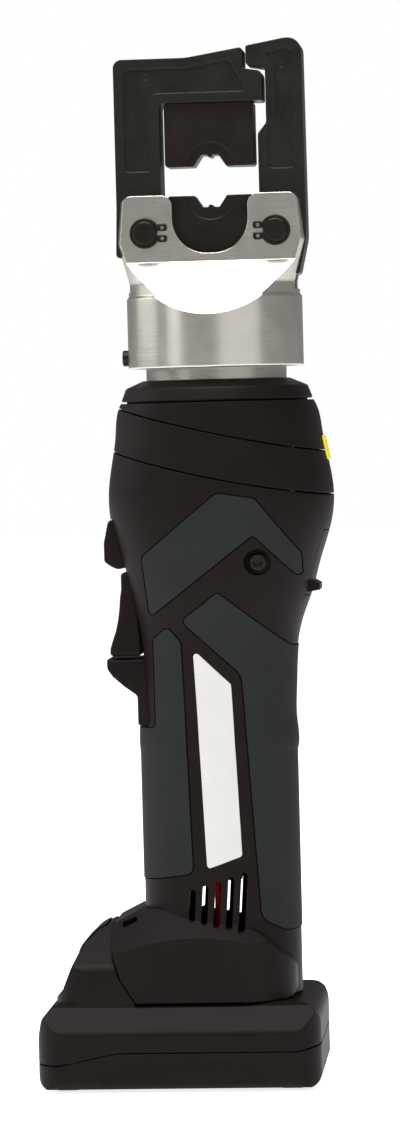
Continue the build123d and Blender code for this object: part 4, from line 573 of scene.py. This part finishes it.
def model_screw(name, bite):
    """A screw along +Z whose head seat is at the origin, with a shank of that length."""
    screw = start_piece(name, bpy.ops.mesh.primitive_cylinder_add, vertices=SCREW_SIDES, radius=HEAD_R * MM,
                        depth=HEAD_TALL * MM, location=(0, 0, HEAD_TALL / 2 * MM))
    pick_faces(screw, lambda middle, normal: normal.z < -FACING)
    bpy.ops.mesh.inset(thickness=(HEAD_R - SHANK_R) * MM)
    bpy.ops.mesh.extrude_region_move(TRANSFORM_OT_translate={"value": (0, 0, -bite * MM)})
    pick_faces(screw, lambda middle, normal: normal.z > FACING)
    bpy.ops.mesh.inset(thickness=(HEAD_R - SOCKET_R) * MM)
    ring = bmesh.from_edit_mesh(screw.data)
    for offset, draw in LOBE_DRAW.items():
        for v in ring.verts:
            angle = math.degrees(math.atan2(v.co.y, v.co.x)) % LOBE_TURN
            on_top = v.co.z > HEAD_TALL * MM * (1 - NEAR)
            on_ring = on_top and v.co.xy.length < SOCKET_R * MM * (1 + NEAR)
            v.select_set(on_ring and abs(min(angle, LOBE_TURN - angle) - offset) < NEAR_TURN)
        bmesh.update_edit_mesh(screw.data)
        bpy.ops.transform.resize(value=(draw, draw, 1), center_override=(0, 0, HEAD_TALL * MM))
    pick_faces(screw, lambda middle, normal: normal.z > FACING and middle.xy.length < NEAR_AXIS * MM)
    bpy.ops.mesh.extrude_region_move(TRANSFORM_OT_translate={"value": (0, 0, -SOCKET_DEEP * MM)})
    round_edges(SCREW_EDGE, segments=2, angle=60)
    bpy.ops.object.mode_set(mode="OBJECT")
    return screw


SIDE_BITE, SHELL_BITE = 9.6, 18.0
side_screw = model_screw("side_screw", SIDE_BITE)
shell_screw = model_screw("shell_screw", SHELL_BITE)
print("Screws modelled with", len(side_screw.data.polygons), "faces each")

# %% [markdown]
# The screws go to the same places as in the CAD: how far from the tool's axis, how high, and how deep.
# Each copy has its own mesh, turned to face outwards,
# and the six are joined into the one piece of their node.

# %% Screws in their places
SIDE_SCREW_SPOT, SIDE_SEAT = (15.8, 195.8), 27.6
SHELL_SCREW_SPOTS, SHELL_SEAT = ((17.0, 67.3), (-25.0, 70.8), (35.2, 214.3), (-35.0, 49.6)), 9.0
spots = [(side_screw, SIDE_SCREW_SPOT, -SIDE_SEAT), (side_screw, SIDE_SCREW_SPOT, SIDE_SEAT)]
spots += [(shell_screw, spot, SHELL_SEAT) for spot in SHELL_SCREW_SPOTS]
placed = []
for model, (along, up), seat in spots:
    copy = bpy.data.objects.new("housing_screw", model.data.copy())
    bpy.context.scene.collection.objects.link(copy)
    facing = Matrix.Rotation(math.copysign(math.radians(90), -seat), 4, "X")
    copy.data.transform(Matrix.Translation((AXIS_X + along * MM, seat * MM, up * MM)) @ facing)
    placed.append(copy)
for model in (side_screw, shell_screw):
    bpy.data.objects.remove(model)
bpy.ops.object.select_all(action="DESELECT")
for copy in placed:
    copy.select_set(True)
bpy.context.view_layer.objects.active = placed[0]
bpy.ops.object.join()
screws = bpy.context.object
screws.name = "housing_screw_set"
finish_piece(screws, "housing_screws", "housing", "black_steel")

# %% [markdown]
# ### Return spring
# Inside the cylinder a steel spring stands on the piston and pushes against the rod guide.
# It can't follow the ram as a stiff piece: its lower end rises with the piston while its upper end stays.
# A curve with a round bevel could make the coil, but a Screw modifier gives even turns from a few numbers:
# it draws a small round section round the axis, and up as it goes.

# %% Return spring
low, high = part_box("return_spring")
WIRE_R, SPRING_TURNS, SECTION_SIDES, TURN_STEPS = 1.2, 7, 12, 32
coil_middle = (high.x - low.x) / 2 - WIRE_R * MM
coil_rise = high.z - low.z - 2 * WIRE_R * MM
spring = start_piece("coil_spring", bpy.ops.mesh.primitive_circle_add, vertices=SECTION_SIDES,
                     radius=WIRE_R * MM, location=(coil_middle, 0, 0), rotation=(math.radians(90), 0, 0))
winding = spring.modifiers.new("coil", "SCREW")
winding.iterations = SPRING_TURNS
winding.screw_offset = coil_rise / SPRING_TURNS
winding.steps = TURN_STEPS
bpy.ops.object.modifier_apply(modifier="coil")
bpy.ops.object.mode_set(mode="EDIT")
bpy.ops.mesh.select_all(action="SELECT")
bpy.ops.mesh.fill_holes(sides=SECTION_SIDES)
bpy.ops.mesh.normals_make_consistent(inside=False)
bpy.ops.transform.translate(value=(AXIS_X, 0, low.z + WIRE_R * MM))
finish_piece(spring, "return_spring", "ram", "gear_steel")
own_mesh(spring)

# %% [markdown]
# ## Floor
# The tool stands on a plain pale table.
# A backdrop that curves up would need a bend, so the table is just a wide plane that runs out into the white.
# It is white where the camera sees it and dimmer where it lights the tool,
# so that black plastic stays black and steel keeps its bands.

# %% Floor
FLOOR_SIZE, FLOOR_DROP, FLOOR_CLOUD = 12.0, 0.4, 330
GLOW_ON_TOOL, GLOW_SEEN = 0.5, 0.85
bpy.ops.object.select_all(action="DESELECT")
bpy.ops.mesh.primitive_plane_add(size=FLOOR_SIZE, location=(0, 0, -FLOOR_DROP * MM))
floor = bpy.context.object
floor.name = "floor"
# Table: matt and nearly white, with no gleam, so that nothing on it draws the eye from the tool.
floor_tree, floor_shader, floor_place = new_finish("pale_table", Roughness=0.9, Specular_IOR_Level=0.0)
table_clouds = {"Vector": floor_place, "Scale": per_mm(FLOOR_CLOUD)}
floor_cloud = add_node(floor_tree, "ShaderNodeTexNoise", table_clouds)
table_shades = {"Factor": floor_cloud.outputs[0], "A": colour("#f7f7f6"), "B": colour("#fdfdfc")}
floor_shade = add_node(floor_tree, "ShaderNodeMix", table_shades, data_type="RGBA").outputs["Result"]
floor_tree.links.new(floor_shade, floor_shader.inputs["Base Color"])
floor_tree.links.new(floor_shade, floor_shader.inputs["Emission Color"])
floor_seen = add_node(floor_tree, "ShaderNodeLightPath").outputs["Is Camera Ray"]
glow = {"Value": floor_seen, "To Min": GLOW_ON_TOOL, "To Max": GLOW_SEEN}
floor_glow = add_node(floor_tree, "ShaderNodeMapRange", glow)
floor_tree.links.new(floor_glow.outputs[0], floor_shader.inputs["Emission Strength"])
floor.data.materials.append(bpy.data.materials["pale_table"])
print("Floor", FLOOR_SIZE, "m wide,", FLOOR_DROP, "mm under the tool")

# %% [markdown]
# ## Light
# A sun would be simpler, but it draws hard shadows, and steel needs large bright shapes to mirror.
# So four soft boxes stand round the table, all aimed at the middle of the tool.
# The one overhead puts the bright edge on the head's slanted ramp,
# the wide one on the right fills, and the two on the left draw the housing's front.

# %% Soft boxes
MIDDLE = (Vector(cad_low) + Vector(cad_high)) / 2


def soft_box(name, place, size, power):
    """A square area light aimed at the middle of the tool."""
    data = bpy.data.lights.new(name, "AREA")
    data.size, data.energy = size, power
    lamp = bpy.data.objects.new(name, data)
    bpy.context.scene.collection.objects.link(lamp)
    lamp.location = place
    lamp.rotation_euler = (MIDDLE - lamp.location).to_track_quat("-Z", "Y").to_euler()


soft_box("overhead", place=Vector((-0.1, -0.45, 1.7)), size=1.3, power=46)
soft_box("wide_right", place=Vector((1.1, -1.5, 0.9)), size=2.2, power=9)
soft_box("left_strip", place=Vector((-1.2, -1.0, 0.6)), size=0.5, power=2.2)
soft_box("left_rim", place=Vector((-1.5, 0.2, 0.9)), size=1.2, power=9)

# %% [markdown]
# ## Background
# The world behind the table is white to the camera and dim to the tool, for the same reason as the floor.
# A Light Path node tells the two apart, and the Standard view shows white as white.

# %% White background
world = bpy.data.worlds.new("white_room")
world.use_nodes = True
bpy.context.scene.world = world
sky = world.node_tree
seen = add_node(sky, "ShaderNodeLightPath").outputs["Is Camera Ray"]
dim = sky.nodes["Background"]
dim.inputs["Color"].default_value = colour("#f4f5f6")
dim.inputs["Strength"].default_value = 0.3
bright = add_node(sky, "ShaderNodeBackground", {"Color": (1, 1, 1, 1), "Strength": 1.0})
both = add_node(sky, "ShaderNodeMixShader", {0: seen, 1: dim.outputs[0], 2: bright.outputs[0]})
sky.links.new(both.outputs[0], sky.nodes["World Output"].inputs["Surface"])
bpy.context.scene.view_settings.view_transform = "Standard"
print("World:", world.name, "lights the tool at", round(dim.inputs["Strength"].default_value, 2))
